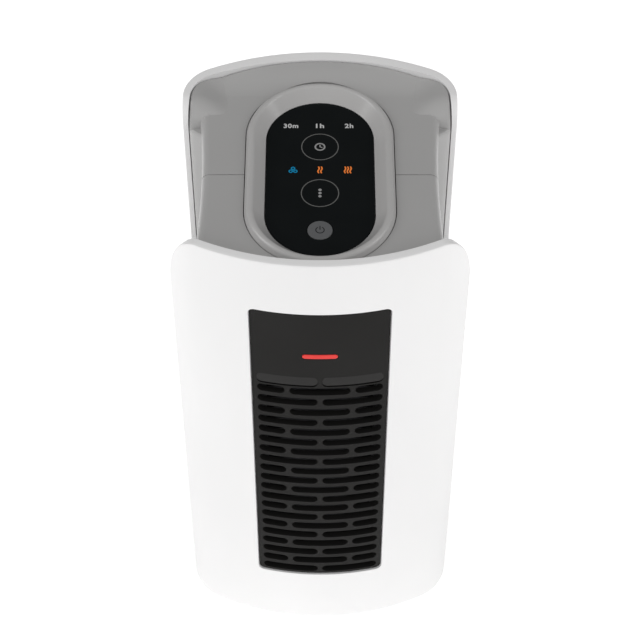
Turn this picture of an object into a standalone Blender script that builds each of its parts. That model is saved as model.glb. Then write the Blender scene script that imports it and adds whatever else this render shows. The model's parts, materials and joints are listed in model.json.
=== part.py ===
"""Free-standing boot dryer with a touch panel, a slotted front and two fold-out drying arms.

Metres, +Z up. The front faces -Y, and the origin is under the middle of the footprint.
Run with: blender --background --python part.py
"""
import math

import bmesh
import bpy
from mathutils import Matrix, Vector

# Overall size
COVER_WIDTH = 0.170
DEPTH = 0.1704
FOOT_HEIGHT = 0.003
COVER_HEIGHT = 0.3545
TOP = FOOT_HEIGHT + COVER_HEIGHT
GAP = 0.0004
FULL_TURN = 2 * math.pi

# Front cover
FRONT_RADIUS = 0.155
FRONT_CORNER = 0.029
FRONT_HALF = COVER_WIDTH / 2
FRONT_END_ANGLE = math.radians(80)
FRONT_WALL = 0.0048
FRONT_CHAMFER = 0.00124
FRONT_FLAT_TOP = 0.0695
FRONT_SHOULDER = 53.0
TUCK_RADIUS = 0.006
TUCK_HEIGHT = 0.0052
TUCK_STEPS = 3
TUCK_INSET = TUCK_RADIUS - math.sqrt(TUCK_RADIUS**2 - TUCK_HEIGHT**2)

# Rear cover
REAR_RADIUS = 0.1513
REAR_CORNER = 0.0255
REAR_HALF = 0.0793
REAR_EDGE_Y = 0.0354
REAR_WALL = 0.0077
REAR_EDGE_SHARE = 0.42
REAR_CHAMFER = 0.0015
REAR_SHOULDER = 0.0136
INTAKE_HALF = 0.0345
INTAKE_BOTTOM = 0.110
INTAKE_TOP = 0.210
SOCKET_HALF = 0.0110
SOCKET_BOTTOM = 0.0240
SOCKET_TOP = 0.0370

# Grille and light bar in the front cover
GRILLE_HALF = 0.0399
GRILLE_BOTTOM = TOP - 0.2995
GRILLE_TOP = TOP - 0.0403
GRILLE_CORNER = 0.0034
GRILLE_RECESS = 0.0010
GRILLE_BACK = FRONT_WALL
SLOT_ROWS = 20
SLOT_PITCH = 0.00973
SLOT_FIRST = TOP - 0.1090
SLOT_HEIGHT = 0.0065
SLOT_END = 0.0370
SLOT_RIB = 0.0027
SLOT_MIDDLE = 0.01785
BAR_HALF = 0.0102
BAR_HEIGHT = 0.0035
BAR_Z = TOP - 0.0773

# Grey core: neck, deck and flare
SEAM_Y = -0.0099
SEAM_GAP = 0.0004
CORE_WALL = 0.0024
CORE_BOTTOM = 0.0073
CORE_GAP = 0.0007
CORE_BACK = DEPTH / 2 + 0.001
DECK_Z = TOP - 0.0068
DECK_RISE_Y = 0.0530
DECK_RISE_END = 0.0790
DECK_RISE = 0.0060
NECK_HALF = 0.0664
NECK_SPREAD = 0.85
NECK_WAIST_Y = -0.018
NECK_EDGE = 0.0050
FLARE_EDGE = 0.0025
FLARE_HALF = 0.0755
FLARE_START = 0.0255
FLARE_END = 0.0350
FLARE_ROOT = 0.0030
SHOULDER_DROP = 0.0008
DISH_INSIDE = 0.0200
DISH_OUTSIDE = 0.0020
POCKET_X = 0.0515
POCKET_FRONT = -0.0455
POCKET_BACK = 0.0345
POCKET_TOP = 0.252

# Control panel
PANEL_Y = -0.0079
PANEL_HALF_WIDTH = 0.0305
PANEL_HALF_LENGTH = 0.0597
GLASS_TOP = TOP - 0.0105
GLASS_THICK = 0.0025
RIDGE_Z = TOP - 0.0032
BEZEL_REACH = 0.0115
BEZEL_BOTTOM = 0.3422
LEDGE_TOP = 0.3440
BUTTON_Y = -0.0489
BUTTON_RADIUS = 0.0069
BUTTON_PROUD = 0.0003
TIMER_Y = 0.0159
MODE_Y = -0.0206
BOARD_Z = 0.3360
BOARD_THICK = 0.0016

# Fan, motor and heater
FAN_Z = 0.150
BAFFLE_Y = 0.004
BAFFLE_THICK = 0.003
FAN_HOLE = 0.0445
FAN_TIP = 0.0425
FAN_HUB = 0.0165
FAN_BLADES = 7
SHAFT_RADIUS = 0.0015

# Heater
HEATER_HALF = 0.042
HEATER_BOTTOM = 0.0750
HEATER_TOP = 0.2350
HEATER_FRONT = -0.0580
HEATER_BACK = -0.0400
HEATER_RIM = 0.006
HEATER_FINS = 14
FIN_MARGIN = 0.008
FIN_HALF = 0.0320
FIN_GAP = 0.0072

# Mains side
INLET_FRONT = 0.0600
INLET_BACK = 0.0838
WELL_HALF = 0.0085
WELL_HEIGHT = 0.0085
WELL_FLOOR = 0.0720
INLET_PIN_X = 0.0043
INLET_PIN_RADIUS = 0.0012
INLET_PIN_END = 0.0810
POWER_BOARD_Z = 0.0400
FILTER_FRONT = 0.0625
FILTER_THICK = 0.0030

# Drying arms
ARM_X = 0.0665
ARM_Z = 0.028
ARM_Y = -0.0055
ARM_HALF_THICK = 0.012
ARM_HALF_WIDTH = 0.033
ARM_TOP = 0.2360
ARM_SKIN = 0.002
ARM_OPEN = math.radians(50)
PIN_RADIUS = 0.003
EAR_THICK = 0.003
EAR_GAP = 0.001

# Base
BASE_BOTTOM = 0.0031
BASE_TOP = 0.0069
RECESS_HALF = 0.0785
SCREW_POINTS = ((-0.0465, -0.032), (0.0465, -0.032), (-0.0465, 0.022), (0.0465, 0.022))
FOOT_POINTS = ((-0.052, -0.056), (0.052, -0.056), (-0.052, 0.050), (0.052, 0.050))

PARTS = None
CUTTERS = None


def clear_scene():
    """Removes the objects that the file opened with."""
    for item in list(bpy.data.objects):
        bpy.data.objects.remove(item, do_unlink=True)


def make_collection(name):
    group = bpy.data.collections.new(name)
    bpy.context.scene.collection.children.link(group)
    return group


def make_material(name, colour, roughness, metallic=0.0):
    material = bpy.data.materials.new(name)
    material.use_nodes = True
    shader = material.node_tree.nodes["Principled BSDF"]
    shader.inputs["Base Color"].default_value = (*colour, 1.0)
    shader.inputs["Roughness"].default_value = roughness
    shader.inputs["Metallic"].default_value = metallic
    material.diffuse_color = (*colour, 1.0)
    return material


# ---------------------------------------------------------------- outlines

def circle(u, v, radius, steps=32):
    return [(u + radius * math.cos(FULL_TURN * k / steps), v + radius * math.sin(FULL_TURN * k / steps))
            for k in range(steps)]


def rounded_box(u0, u1, v0, v1, radius, steps=4):
    """A rectangle with round corners, counter-clockwise."""
    corners = ((u1 - radius, v1 - radius, 0), (u0 + radius, v1 - radius, 1),
               (u0 + radius, v0 + radius, 2), (u1 - radius, v0 + radius, 3))
    points = []
    for u, v, quarter in corners:
        for k in range(steps + 1):
            angle = (quarter + k / steps) * math.pi / 2
            points.append((u + radius * math.cos(angle), v + radius * math.sin(angle)))
    return points


def box_outline(u0, u1, v0, v1):
    return [(u0, v0), (u1, v0), (u1, v1), (u0, v1)]


def obround(half_width, half_length, centre_v=0.0, steps=14):
    """Two straight sides along v, joined by half circles."""
    reach = half_length - half_width
    points = []
    for end in (0, 1):
        for k in range(steps + 1):
            angle = math.pi * (end + k / steps)
            side = reach if end == 0 else -reach
            points.append((half_width * math.cos(angle), centre_v + side + half_width * math.sin(angle)))
    return points


def slot(u0, u1, v, height, steps=2):
    """A slot along u with half-round ends."""
    radius = height / 2
    points = []
    for end, u in ((0, u1 - radius), (1, u0 + radius)):
        for k in range(steps + 1):
            angle = math.pi * (end + k / steps) - math.pi / 2
            points.append((u + radius * math.cos(angle), v + radius * math.sin(angle)))
    return points


def cover_stations(radius, corner, half, end_angle, side_y, facing, main_steps, corner_steps):
    """Points along a cover's plan outline, as (distance, point, inward normal).

    facing is -1 for the front cover and 1 for the rear cover. side_y ends the straight side,
    or is None where the cover ends on its corner.
    """
    arc_angle = math.asin((half - corner) / (radius - corner))
    corner_depth = radius - math.sqrt((radius - corner) ** 2 - (half - corner) ** 2)
    apex = facing * DEPTH / 2
    right = []
    for k in range(main_steps + 1):
        angle = arc_angle * k / main_steps
        right.append((radius * math.sin(angle), radius - radius * math.cos(angle), angle))
    for k in range(1, corner_steps + 1):
        angle = arc_angle + (end_angle - arc_angle) * k / corner_steps
        right.append((half - corner + corner * math.sin(angle), corner_depth - corner * math.cos(angle), angle))
    if side_y is not None:
        right.append((half, apex * facing - side_y * facing, end_angle))
    line = [(-x, depth, -angle) for x, depth, angle in reversed(right[1:])] + right
    points = [Vector((x, apex - facing * depth)) for x, depth, angle in line]
    normals = [Vector((-math.sin(angle), -facing * math.cos(angle))) for x, depth, angle in line]
    lengths = [0.0]
    for first, second in zip(points, points[1:]):
        lengths.append(lengths[-1] + (second - first).length)
    middle = lengths[-1] / 2
    return [(length - middle, point, normal) for length, point, normal in zip(lengths, points, normals)]


def front_stations(main_steps=12, corner_steps=5):
    return cover_stations(FRONT_RADIUS, FRONT_CORNER, FRONT_HALF, FRONT_END_ANGLE, None, -1,
                          main_steps, corner_steps)


def rear_stations(main_steps=9, corner_steps=5):
    return cover_stations(REAR_RADIUS, REAR_CORNER, REAR_HALF, math.pi / 2, REAR_EDGE_Y, 1,
                          main_steps, corner_steps)


def rear_share(distance, end):
    """How much of the full wall thickness the rear cover has at this distance from its middle."""
    ratio = min(1.0, abs(distance) / end)
    return REAR_EDGE_SHARE + (1 - REAR_EDGE_SHARE) * (1 - ratio * ratio)


def inner_line(stations, inset, share=None):
    """The plan outline moved inwards. A share function thins the wall towards the ends."""
    end = stations[-1][0]
    line = []
    for distance, point, normal in stations:
        scale = share(distance, end) if share else 1.0
        line.append(point + normal * inset(scale))
    return line


# ---------------------------------------------------------------- solids

def solid_from_outline(loops, thickness):
    """A flat filled curve with thickness, as a bmesh. Later loops are holes."""
    curve = bpy.data.curves.new("outline", "CURVE")
    curve.dimensions = "2D"
    curve.fill_mode = "BOTH"
    curve.extrude = thickness / 2
    for loop in loops:
        spline = curve.splines.new("POLY")
        spline.points.add(len(loop) - 1)
        for point, (u, v) in zip(spline.points, loop):
            point.co = (u, v, 0.0, 1.0)
        spline.use_cyclic_u = True
    holder = bpy.data.objects.new("outline", curve)
    bpy.context.scene.collection.objects.link(holder)
    depsgraph = bpy.context.evaluated_depsgraph_get()
    mesh = bpy.data.meshes.new_from_object(holder.evaluated_get(depsgraph))
    bm = bmesh.new()
    bm.from_mesh(mesh)
    bpy.data.objects.remove(holder, do_unlink=True)
    bpy.data.curves.remove(curve)
    bpy.data.meshes.remove(mesh)
    bmesh.ops.remove_doubles(bm, verts=bm.verts, dist=1e-6)
    bmesh.ops.recalc_face_normals(bm, faces=bm.faces)
    return bm


def upright(bm, y):
    """Turns an outline drawn in X and Z so that its thickness lies along Y, centred on y."""
    turn = Matrix.Translation((0.0, y, 0.0)) @ Matrix.Rotation(math.pi / 2, 4, "X")
    bmesh.ops.transform(bm, matrix=turn, verts=bm.verts)
    return bm


def plate_z(loops, z0, z1):
    """A plate between two heights, from outlines in X and Y."""
    bm = solid_from_outline(loops, z1 - z0)
    bmesh.ops.translate(bm, vec=(0.0, 0.0, (z0 + z1) / 2), verts=bm.verts)
    return bm


def plate_y(loops, y0, y1):
    """A plate between two depths, from outlines in X and Z."""
    return upright(solid_from_outline(loops, y1 - y0), (y0 + y1) / 2)


def box(x0, x1, y0, y1, z0, z1):
    bm = bmesh.new()
    bmesh.ops.create_cube(bm, size=1.0)
    bmesh.ops.scale(bm, vec=(x1 - x0, y1 - y0, z1 - z0), verts=bm.verts)
    bmesh.ops.translate(bm, vec=((x0 + x1) / 2, (y0 + y1) / 2, (z0 + z1) / 2), verts=bm.verts)
    return bm


def cylinder(radius, start, end, steps=32, end_radius=None):
    """A cylinder or cone between two points on a line parallel to an axis."""
    start = Vector(start)
    end = Vector(end)
    bm = bmesh.new()
    bmesh.ops.create_cone(bm, cap_ends=True, segments=steps, radius1=radius,
                          radius2=radius if end_radius is None else end_radius,
                          depth=(end - start).length)
    turn = (end - start).to_track_quat("Z", "Y").to_matrix().to_4x4()
    bmesh.ops.transform(bm, matrix=Matrix.Translation((start + end) / 2) @ turn, verts=bm.verts)
    return bm


def join(pieces):
    """Puts several bmeshes into the first one."""
    first = pieces[0]
    for piece in pieces[1:]:
        mesh = bpy.data.meshes.new("joined")
        piece.to_mesh(mesh)
        piece.free()
        first.from_mesh(mesh)
        bpy.data.meshes.remove(mesh)
    return first


def shade(bm, sharp_angle=math.radians(32)):
    """Smooth faces, with the sharp edges kept sharp."""
    for face in bm.faces:
        face.smooth = True
    for edge in bm.edges:
        edge.smooth = len(edge.link_faces) == 2 and edge.calc_face_angle(0.0) < sharp_angle


def add_part(name, bm, material, origin=(0.0, 0.0, 0.0)):
    """Makes one named sub-part, with its origin at the given point."""
    origin = Vector(origin)
    bmesh.ops.translate(bm, vec=-origin, verts=bm.verts)
    shade(bm)
    mesh = bpy.data.meshes.new(name)
    bm.to_mesh(mesh)
    bm.free()
    mesh.materials.append(material)
    part = bpy.data.objects.new(name, mesh)
    part.location = origin
    PARTS.objects.link(part)
    return part


def add_cutter(name, bm):
    mesh = bpy.data.meshes.new(name)
    bmesh.ops.recalc_face_normals(bm, faces=bm.faces)
    bm.to_mesh(mesh)
    bm.free()
    cutter = bpy.data.objects.new(name, mesh)
    cutter.hide_render = True
    cutter.display_type = "WIRE"
    CUTTERS.objects.link(cutter)
    return cutter


def combine(target, cutter, operation="DIFFERENCE"):
    modifier = target.modifiers.new(cutter.name, "BOOLEAN")
    modifier.operation = operation
    modifier.solver = "EXACT"
    modifier.object = cutter
    return modifier


def bevel(target, width, segments=1, angle=math.radians(40)):
    modifier = target.modifiers.new("bevel", "BEVEL")
    modifier.width = width
    modifier.segments = segments
    modifier.limit_method = "ANGLE"
    modifier.angle_limit = angle
    return modifier


def bake(target):
    """Replaces an object's mesh with the result of its modifiers, as a bmesh copy to carry on with."""
    depsgraph = bpy.context.evaluated_depsgraph_get()
    mesh = bpy.data.meshes.new_from_object(target.evaluated_get(depsgraph))
    bm = bmesh.new()
    bm.from_mesh(mesh)
    bpy.data.meshes.remove(mesh)
    bpy.data.objects.remove(target, do_unlink=True)
    return bm


# ---------------------------------------------------------------- bent shells

def tuck(height):
    """How far a cover turns inwards at this height above its lower edge."""
    below = max(0.0, TUCK_HEIGHT - height)
    return TUCK_RADIUS - math.sqrt(TUCK_RADIUS**2 - below**2)


def bent_plate(loops, stations, outside, inside, chamfer=0.0, share=None, tucked=False):
    """A plate drawn flat as (distance along the outline, height), bent round a plan outline.

    outside and inside are the depths of its two faces behind the plan outline.
    """
    bm = solid_from_outline(loops, inside - outside)
    outer = (inside - outside) / 2
    if chamfer:
        rim = [edge for edge in bm.edges
               if all(abs(vert.co.z - outer) < 1e-6 for vert in edge.verts) and edge.calc_face_angle(0.0) > 1.0]
        bmesh.ops.bevel(bm, geom=rim, offset=chamfer, segments=1, profile=0.5, affect="EDGES",
                        clamp_overlap=False)
    cuts = [(Vector((distance, 0, 0)), Vector((1, 0, 0))) for distance, point, normal in stations[1:-1]]
    if tucked:
        cuts += [(Vector((0, FOOT_HEIGHT + TUCK_HEIGHT * (k + 1) / TUCK_STEPS, 0)), Vector((0, 1, 0)))
                 for k in range(TUCK_STEPS)]
    for place, direction in cuts:
        bmesh.ops.bisect_plane(bm, geom=bm.verts[:] + bm.edges[:] + bm.faces[:], dist=1e-6,
                               plane_co=place, plane_no=direction)
    end = stations[-1][0]
    index = 0
    for vert in sorted(bm.verts, key=lambda item: item.co.x):
        distance, height, out = vert.co
        while index < len(stations) - 2 and distance > stations[index + 1][0]:
            index += 1
        start_distance, start_point, start_normal = stations[index]
        next_distance, next_point, next_normal = stations[index + 1]
        ratio = (distance - start_distance) / (next_distance - start_distance)
        point = start_point.lerp(next_point, ratio)
        normal = start_normal.lerp(next_normal, ratio)
        depth = outside + outer - out
        if share:
            depth *= share(distance, end)
        if tucked:
            depth += tuck(height - FOOT_HEIGHT)
        place = point + normal * depth
        vert.co = (place.x, place.y, height)
    bmesh.ops.recalc_face_normals(bm, faces=bm.faces)
    bmesh.ops.dissolve_limit(bm, angle_limit=math.radians(0.3), verts=bm.verts, edges=bm.edges)
    bmesh.ops.triangulate(bm, faces=[face for face in bm.faces if len(face.verts) > 4])
    return bm


def front_cover(material):
    stations = front_stations()
    end = stations[-1][0]
    steps = 7
    shoulder = []
    for k in range(steps + 1):
        distance = FRONT_FLAT_TOP + (end - FRONT_FLAT_TOP) * k / steps
        shoulder.append((distance, TOP - FRONT_SHOULDER * (distance - FRONT_FLAT_TOP) ** 2))
    outline = [(-end, FOOT_HEIGHT), (end, FOOT_HEIGHT)] + shoulder[::-1]
    outline += [(-distance, height) for distance, height in shoulder]
    opening = rounded_box(-GRILLE_HALF - GAP, GRILLE_HALF + GAP, GRILLE_BOTTOM - GAP, GRILLE_TOP + GAP,
                          GRILLE_CORNER + GAP)
    bm = bent_plate([outline, opening], stations, 0.0, FRONT_WALL, FRONT_CHAMFER, tucked=True)
    return add_part("front_cover", bm, material)


def rear_cover(material):
    stations = rear_stations()
    end = stations[-1][0]
    outline = [(-end, FOOT_HEIGHT), (end, FOOT_HEIGHT)]
    corner = []
    steps = 6
    for k in range(steps + 1):
        angle = math.pi / 2 * k / steps
        corner.append((end - REAR_SHOULDER * (1 - math.cos(angle)), TOP - REAR_SHOULDER * (1 - math.sin(angle))))
    outline += corner + [(-distance, height) for distance, height in corner[::-1]]
    intake = rounded_box(-INTAKE_HALF - GAP, INTAKE_HALF + GAP, INTAKE_BOTTOM - GAP, INTAKE_TOP + GAP, 0.008)
    reach = SOCKET_HALF + 0.0012
    socket = box_outline(-reach, reach, SOCKET_BOTTOM - GAP, SOCKET_TOP + GAP)
    bm = bent_plate([outline, intake, socket], stations, 0.0, REAR_WALL, REAR_CHAMFER, rear_share, tucked=True)
    return add_part("rear_cover", bm, material)


def grille_slots():
    """Rows of three slots and rows of two slots, by turns."""
    loops = []
    for row in range(SLOT_ROWS):
        z = SLOT_FIRST - row * SLOT_PITCH
        if row % 2 == 0:
            loops.append(slot(-SLOT_END, -SLOT_MIDDLE - SLOT_RIB, z, SLOT_HEIGHT))
            loops.append(slot(-SLOT_MIDDLE, SLOT_MIDDLE, z, SLOT_HEIGHT))
            loops.append(slot(SLOT_MIDDLE + SLOT_RIB, SLOT_END, z, SLOT_HEIGHT))
        else:
            loops.append(slot(-SLOT_END, -SLOT_RIB / 2, z, SLOT_HEIGHT))
            loops.append(slot(SLOT_RIB / 2, SLOT_END, z, SLOT_HEIGHT))
    return loops


def grille(material):
    stations = front_stations(main_steps=4, corner_steps=2)
    outline = rounded_box(-GRILLE_HALF, GRILLE_HALF, GRILLE_BOTTOM, GRILLE_TOP, GRILLE_CORNER)
    bar_hole = slot(-BAR_HALF - GAP, BAR_HALF + GAP, BAR_Z, BAR_HEIGHT + 2 * GAP, 6)
    bm = bent_plate([outline, bar_hole] + grille_slots(), stations, GRILLE_RECESS, GRILLE_BACK)
    return add_part("grille", bm, material)


def light_bar(material):
    stations = front_stations(main_steps=4, corner_steps=2)
    bm = bent_plate([slot(-BAR_HALF, BAR_HALF, BAR_Z, BAR_HEIGHT, 6)], stations, GRILLE_RECESS, GRILLE_BACK)
    return add_part("light_bar", bm, material)


def light_board(material):
    y = -DEPTH / 2 + GRILLE_BACK + 0.0015
    bm = box(-0.016, 0.016, y, y + 0.0016, BAR_Z - 0.008, BAR_Z + 0.008)
    return add_part("light_board", bm, material)


def rear_grille(material):
    stations = rear_stations(main_steps=4, corner_steps=2)
    loops = [rounded_box(-INTAKE_HALF, INTAKE_HALF, INTAKE_BOTTOM, INTAKE_TOP, 0.0076)]
    rows = 9
    for row in range(rows):
        z = INTAKE_BOTTOM + (row + 0.75) * (INTAKE_TOP - INTAKE_BOTTOM) / (rows + 0.5)
        loops.append(slot(-0.0300, -0.0016, z, 0.0060))
        loops.append(slot(0.0016, 0.0300, z, 0.0060))
    bm = bent_plate(loops, stations, 0.0008, 0.0050)
    return add_part("rear_grille", bm, material)


# ---------------------------------------------------------------- grey core

def blend(value, low, high):
    """0 below low, 1 above high, and smooth between."""
    ratio = min(1.0, max(0.0, (value - low) / (high - low)))
    return ratio * ratio * (3 - 2 * ratio)


def neck_half_width(y):
    """Half the neck's width, slightly waisted."""
    return min(NECK_HALF + NECK_SPREAD * (y - NECK_WAIST_Y) ** 2, FLARE_HALF - 0.001)


def flare_half_width(y):
    """Half the flare's width: it grows out of the neck's side until it meets the rear cover."""
    root = neck_half_width(y) - FLARE_ROOT
    return root + (FLARE_HALF - root) * blend(y, FLARE_START, FLARE_END)


def deck_height(y):
    return DECK_Z + DECK_RISE * blend(y, DECK_RISE_Y, DECK_RISE_END)


def shoulder_height(y):
    """The flare's top, which follows the rear cover's round upper corner."""
    forward = min(1.0, max(0.0, (REAR_EDGE_Y + REAR_SHOULDER - y) / REAR_SHOULDER))
    return TOP - SHOULDER_DROP - REAR_SHOULDER * (1 - math.sqrt(1 - forward * forward))


def round_edge(half, top, radius, steps):
    """A quarter circle from the side of a section to its top."""
    points = []
    for k in range(steps + 1):
        angle = math.pi / 2 * k / steps
        points.append((half - radius * (1 - math.cos(angle)), top - radius * (1 - math.sin(angle))))
    return points


def loft(stations, section):
    """A closed solid through the sections at the given places along Y, mirrored in X."""
    bm = bmesh.new()
    rings = []
    for y in stations:
        right = section(y)
        left = [(-x, z) for x, z in reversed(right)]
        rings.append([bm.verts.new((x, y, z)) for x, z in right + left])
    for first, second in zip(rings, rings[1:]):
        count = len(first)
        for k in range(count):
            bm.faces.new((first[k], first[(k + 1) % count], second[(k + 1) % count], second[k]))
    bm.faces.new(rings[0])
    bm.faces.new(rings[-1])
    bmesh.ops.recalc_face_normals(bm, faces=bm.faces)
    return bm


def spaced(marks, steps):
    """Places along Y, with the given number of steps between each two marks."""
    places = []
    for first, second, count in zip(marks, marks[1:], steps):
        places += [first + (second - first) * k / count for k in range(count)]
    return places + [marks[-1]]


def neck_solid(inset, edge_steps=5):
    def section(y):
        half = neck_half_width(y) - inset
        top = deck_height(y) - inset
        return [(half, CORE_BOTTOM - inset)] + round_edge(half, top, NECK_EDGE - inset, edge_steps)
    marks = [-DEPTH / 2, FLARE_START, DECK_RISE_Y, DECK_RISE_END, CORE_BACK]
    return loft(spaced(marks, (7, 3, 6, 1)), section)


def flare_solid(inset, edge_steps=3, dish_steps=6):
    """The wide rear part. Its top dips towards the middle, where the neck's deck takes over."""
    def section(y):
        half = flare_half_width(y) - inset
        radius = max(FLARE_EDGE - inset, 0.0005)
        shoulder = shoulder_height(y) - inset
        middle = deck_height(y) - inset - GAP
        inside = neck_half_width(y) - DISH_INSIDE
        outside = neck_half_width(y) + DISH_OUTSIDE
        points = [(half, CORE_BOTTOM - inset)]
        for k in range(edge_steps + 1):
            x, z = round_edge(half, shoulder, radius, edge_steps)[k]
            points.append((x, z))
        start = points[-1][0]
        for k in range(1, dish_steps + 1):
            x = start + (inside - start) * k / dish_steps
            points.append((x, middle + (shoulder - middle) * blend(x, inside, outside)))
        return points
    marks = [FLARE_START, FLARE_END, REAR_EDGE_Y + REAR_SHOULDER, DECK_RISE_END, CORE_BACK]
    return loft(spaced(marks, (7, 6, 4, 1)), section)


def plan_prism(inset, z0, z1):
    """The space inside both covers, seen from above, less an inset."""
    wide = 0.095
    front = inner_line(front_stations(), lambda scale: FRONT_WALL + GAP + inset)
    rear = inner_line(rear_stations(), lambda scale: REAR_WALL * scale + CORE_GAP + inset, rear_share)
    outline = [tuple(point) for point in front]
    outline += [(wide, front[-1].y + GAP), (wide, REAR_EDGE_Y - GAP)]
    outline += [tuple(point) for point in reversed(rear)]
    outline += [(-wide, REAR_EDGE_Y - GAP), (-wide, front[0].y + GAP)]
    return plate_z([outline], z0, z1)


def pockets(grow):
    """The two side recesses that the drying arms fold into."""
    sides = []
    for side in (-1, 1):
        near = side * (POCKET_X - grow)
        far = side * 0.11
        sides.append(box(min(near, far), max(near, far), POCKET_FRONT - grow, POCKET_BACK + grow,
                         -0.02, POCKET_TOP + grow))
    return join(sides)


def core_openings():
    """Holes through the core's walls: panel, grille, intake, mains socket and arm air ports."""
    rim = BEZEL_REACH + GAP
    hole = obround(PANEL_HALF_WIDTH + rim, PANEL_HALF_LENGTH + rim, PANEL_Y)
    cuts = [plate_z([hole], 0.335, 0.37)]
    front_hole = rounded_box(-0.0385, 0.0385, 0.0600, 0.3150, 0.004)
    cuts.append(plate_y([front_hole], -0.0900, -0.0600))
    intake = rounded_box(-0.0325, 0.0325, INTAKE_BOTTOM + 0.002, INTAKE_TOP - 0.002, 0.006)
    cuts.append(plate_y([intake], 0.0560, 0.0900))
    reach = SOCKET_HALF + 0.0012
    socket = box_outline(-reach, reach, SOCKET_BOTTOM - GAP, SOCKET_TOP + GAP)
    cuts.append(plate_y([socket], 0.0570, 0.0910))
    for side in (-1, 1):
        near = side * 0.0460
        far = side * 0.0560
        cuts.append(box(min(near, far), max(near, far), -0.0360, -0.0160, 0.0200, 0.0360))
    return join(cuts)


def core_bosses():
    bosses = [cylinder(0.0040, (x, y, CORE_BOTTOM), (x, y, 0.0300), 16) for x, y in SCREW_POINTS]
    return join(bosses)


def core_boss_holes():
    holes = [cylinder(0.0019, (x, y, CORE_BOTTOM - 0.002), (x, y, 0.0240), 12) for x, y in SCREW_POINTS]
    return join(holes)


def housings(material):
    """The hollow core, split into a front and a rear half at the seam across the deck."""
    core = add_part("core", neck_solid(0.0), material)
    combine(core, add_cutter("core_flare", flare_solid(0.0)), "UNION")
    combine(core, add_cutter("core_plan", plan_prism(0.0, -0.03, 0.40)), "INTERSECT")
    combine(core, add_cutter("core_pockets", pockets(0.0)))
    hollow = add_cutter("core_hollow", neck_solid(CORE_WALL))
    combine(hollow, add_cutter("hollow_flare", flare_solid(CORE_WALL)), "UNION")
    combine(hollow, add_cutter("hollow_plan", plan_prism(CORE_WALL, -0.03, 0.40)), "INTERSECT")
    combine(hollow, add_cutter("hollow_pockets", pockets(CORE_WALL)))
    combine(core, hollow)
    combine(core, add_cutter("core_bosses", core_bosses()), "UNION")
    combine(core, add_cutter("core_boss_holes", core_boss_holes()))
    combine(core, add_cutter("core_openings", core_openings()))
    whole = bake(core)
    bmesh.ops.dissolve_limit(whole, angle_limit=math.radians(0.2), verts=whole.verts, edges=whole.edges)
    copy = whole.copy()
    front = add_part("front_housing", whole, material)
    combine(front, add_cutter("front_half", box(-0.1, 0.1, -0.2, SEAM_Y - SEAM_GAP / 2, -0.05, 0.45)), "INTERSECT")
    rear = add_part("rear_housing", copy, material)
    combine(rear, add_cutter("rear_half", box(-0.1, 0.1, SEAM_Y + SEAM_GAP / 2, 0.2, -0.05, 0.45)), "INTERSECT")


# ---------------------------------------------------------------- control panel

def ring_sweep(profile, half_width, half_length, centre_y):
    """A closed profile of (offset outwards, height), carried round an obround in plan."""
    bm = bmesh.new()
    rings = []
    for offset, height in profile:
        loop = obround(half_width + offset, half_length + offset, centre_y)
        rings.append([bm.verts.new((x, y, height)) for x, y in loop])
    for first, second in zip(rings, rings[1:] + rings[:1]):
        count = len(first)
        for k in range(count):
            bm.faces.new((first[k], first[(k + 1) % count], second[(k + 1) % count], second[k]))
    bmesh.ops.recalc_face_normals(bm, faces=bm.faces)
    return bm


def panel_bezel(material):
    """A sloped inner wall up to a ridge, an outer wall through the deck and a ledge for the glass."""
    profile = [(GAP, GLASS_TOP), (0.0070, RIDGE_Z - 0.0004), (0.0076, RIDGE_Z), (0.0086, RIDGE_Z),
               (0.0096, RIDGE_Z - 0.0006), (0.0113, RIDGE_Z - 0.0024), (BEZEL_REACH, RIDGE_Z - 0.0032),
               (BEZEL_REACH, BEZEL_BOTTOM), (0.0097, BEZEL_BOTTOM), (0.0097, 0.3500), (0.0085, 0.3500),
               (0.0030, LEDGE_TOP), (0.0030, BEZEL_BOTTOM), (-0.0020, BEZEL_BOTTOM), (-0.0020, LEDGE_TOP),
               (GAP, LEDGE_TOP)]
    bm = ring_sweep(profile, PANEL_HALF_WIDTH, PANEL_HALF_LENGTH, PANEL_Y)
    return add_part("panel_bezel", bm, material)


def panel_glass(material):
    outline = obround(PANEL_HALF_WIDTH, PANEL_HALF_LENGTH, PANEL_Y)
    hole = circle(0.0, BUTTON_Y, BUTTON_RADIUS + GAP)
    bm = plate_z([outline, hole], GLASS_TOP - GLASS_THICK, GLASS_TOP)
    return add_part("panel_glass", bm, material)


def power_button(material):
    top = GLASS_TOP + BUTTON_PROUD
    button = add_part("power_button", cylinder(BUTTON_RADIUS, (0.0, BUTTON_Y, 0.3419), (0.0, BUTTON_Y, top)),
                      material, origin=(0.0, BUTTON_Y, top))
    bevel(button, 0.0003)
    return button


def panel_electronics(board_material, foam_material, switch_material):
    outline = obround(PANEL_HALF_WIDTH - 0.001, PANEL_HALF_LENGTH - 0.001, PANEL_Y, 8)
    add_part("control_board", plate_z([outline], BOARD_Z, BOARD_Z + BOARD_THICK), board_material)
    base = BOARD_Z + BOARD_THICK + GAP
    switch = box(-0.003, 0.003, BUTTON_Y - 0.003, BUTTON_Y + 0.003, base, base + 0.0028)
    add_part("button_switch", switch, switch_material)
    for name, y in (("touch_pad_timer", TIMER_Y), ("touch_pad_mode", MODE_Y)):
        pad = cylinder(0.0040, (0.0, y, base), (0.0, y, GLASS_TOP - GLASS_THICK - GAP), 20)
        add_part(name, pad, foam_material)


# ---------------------------------------------------------------- fan and heater

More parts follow.
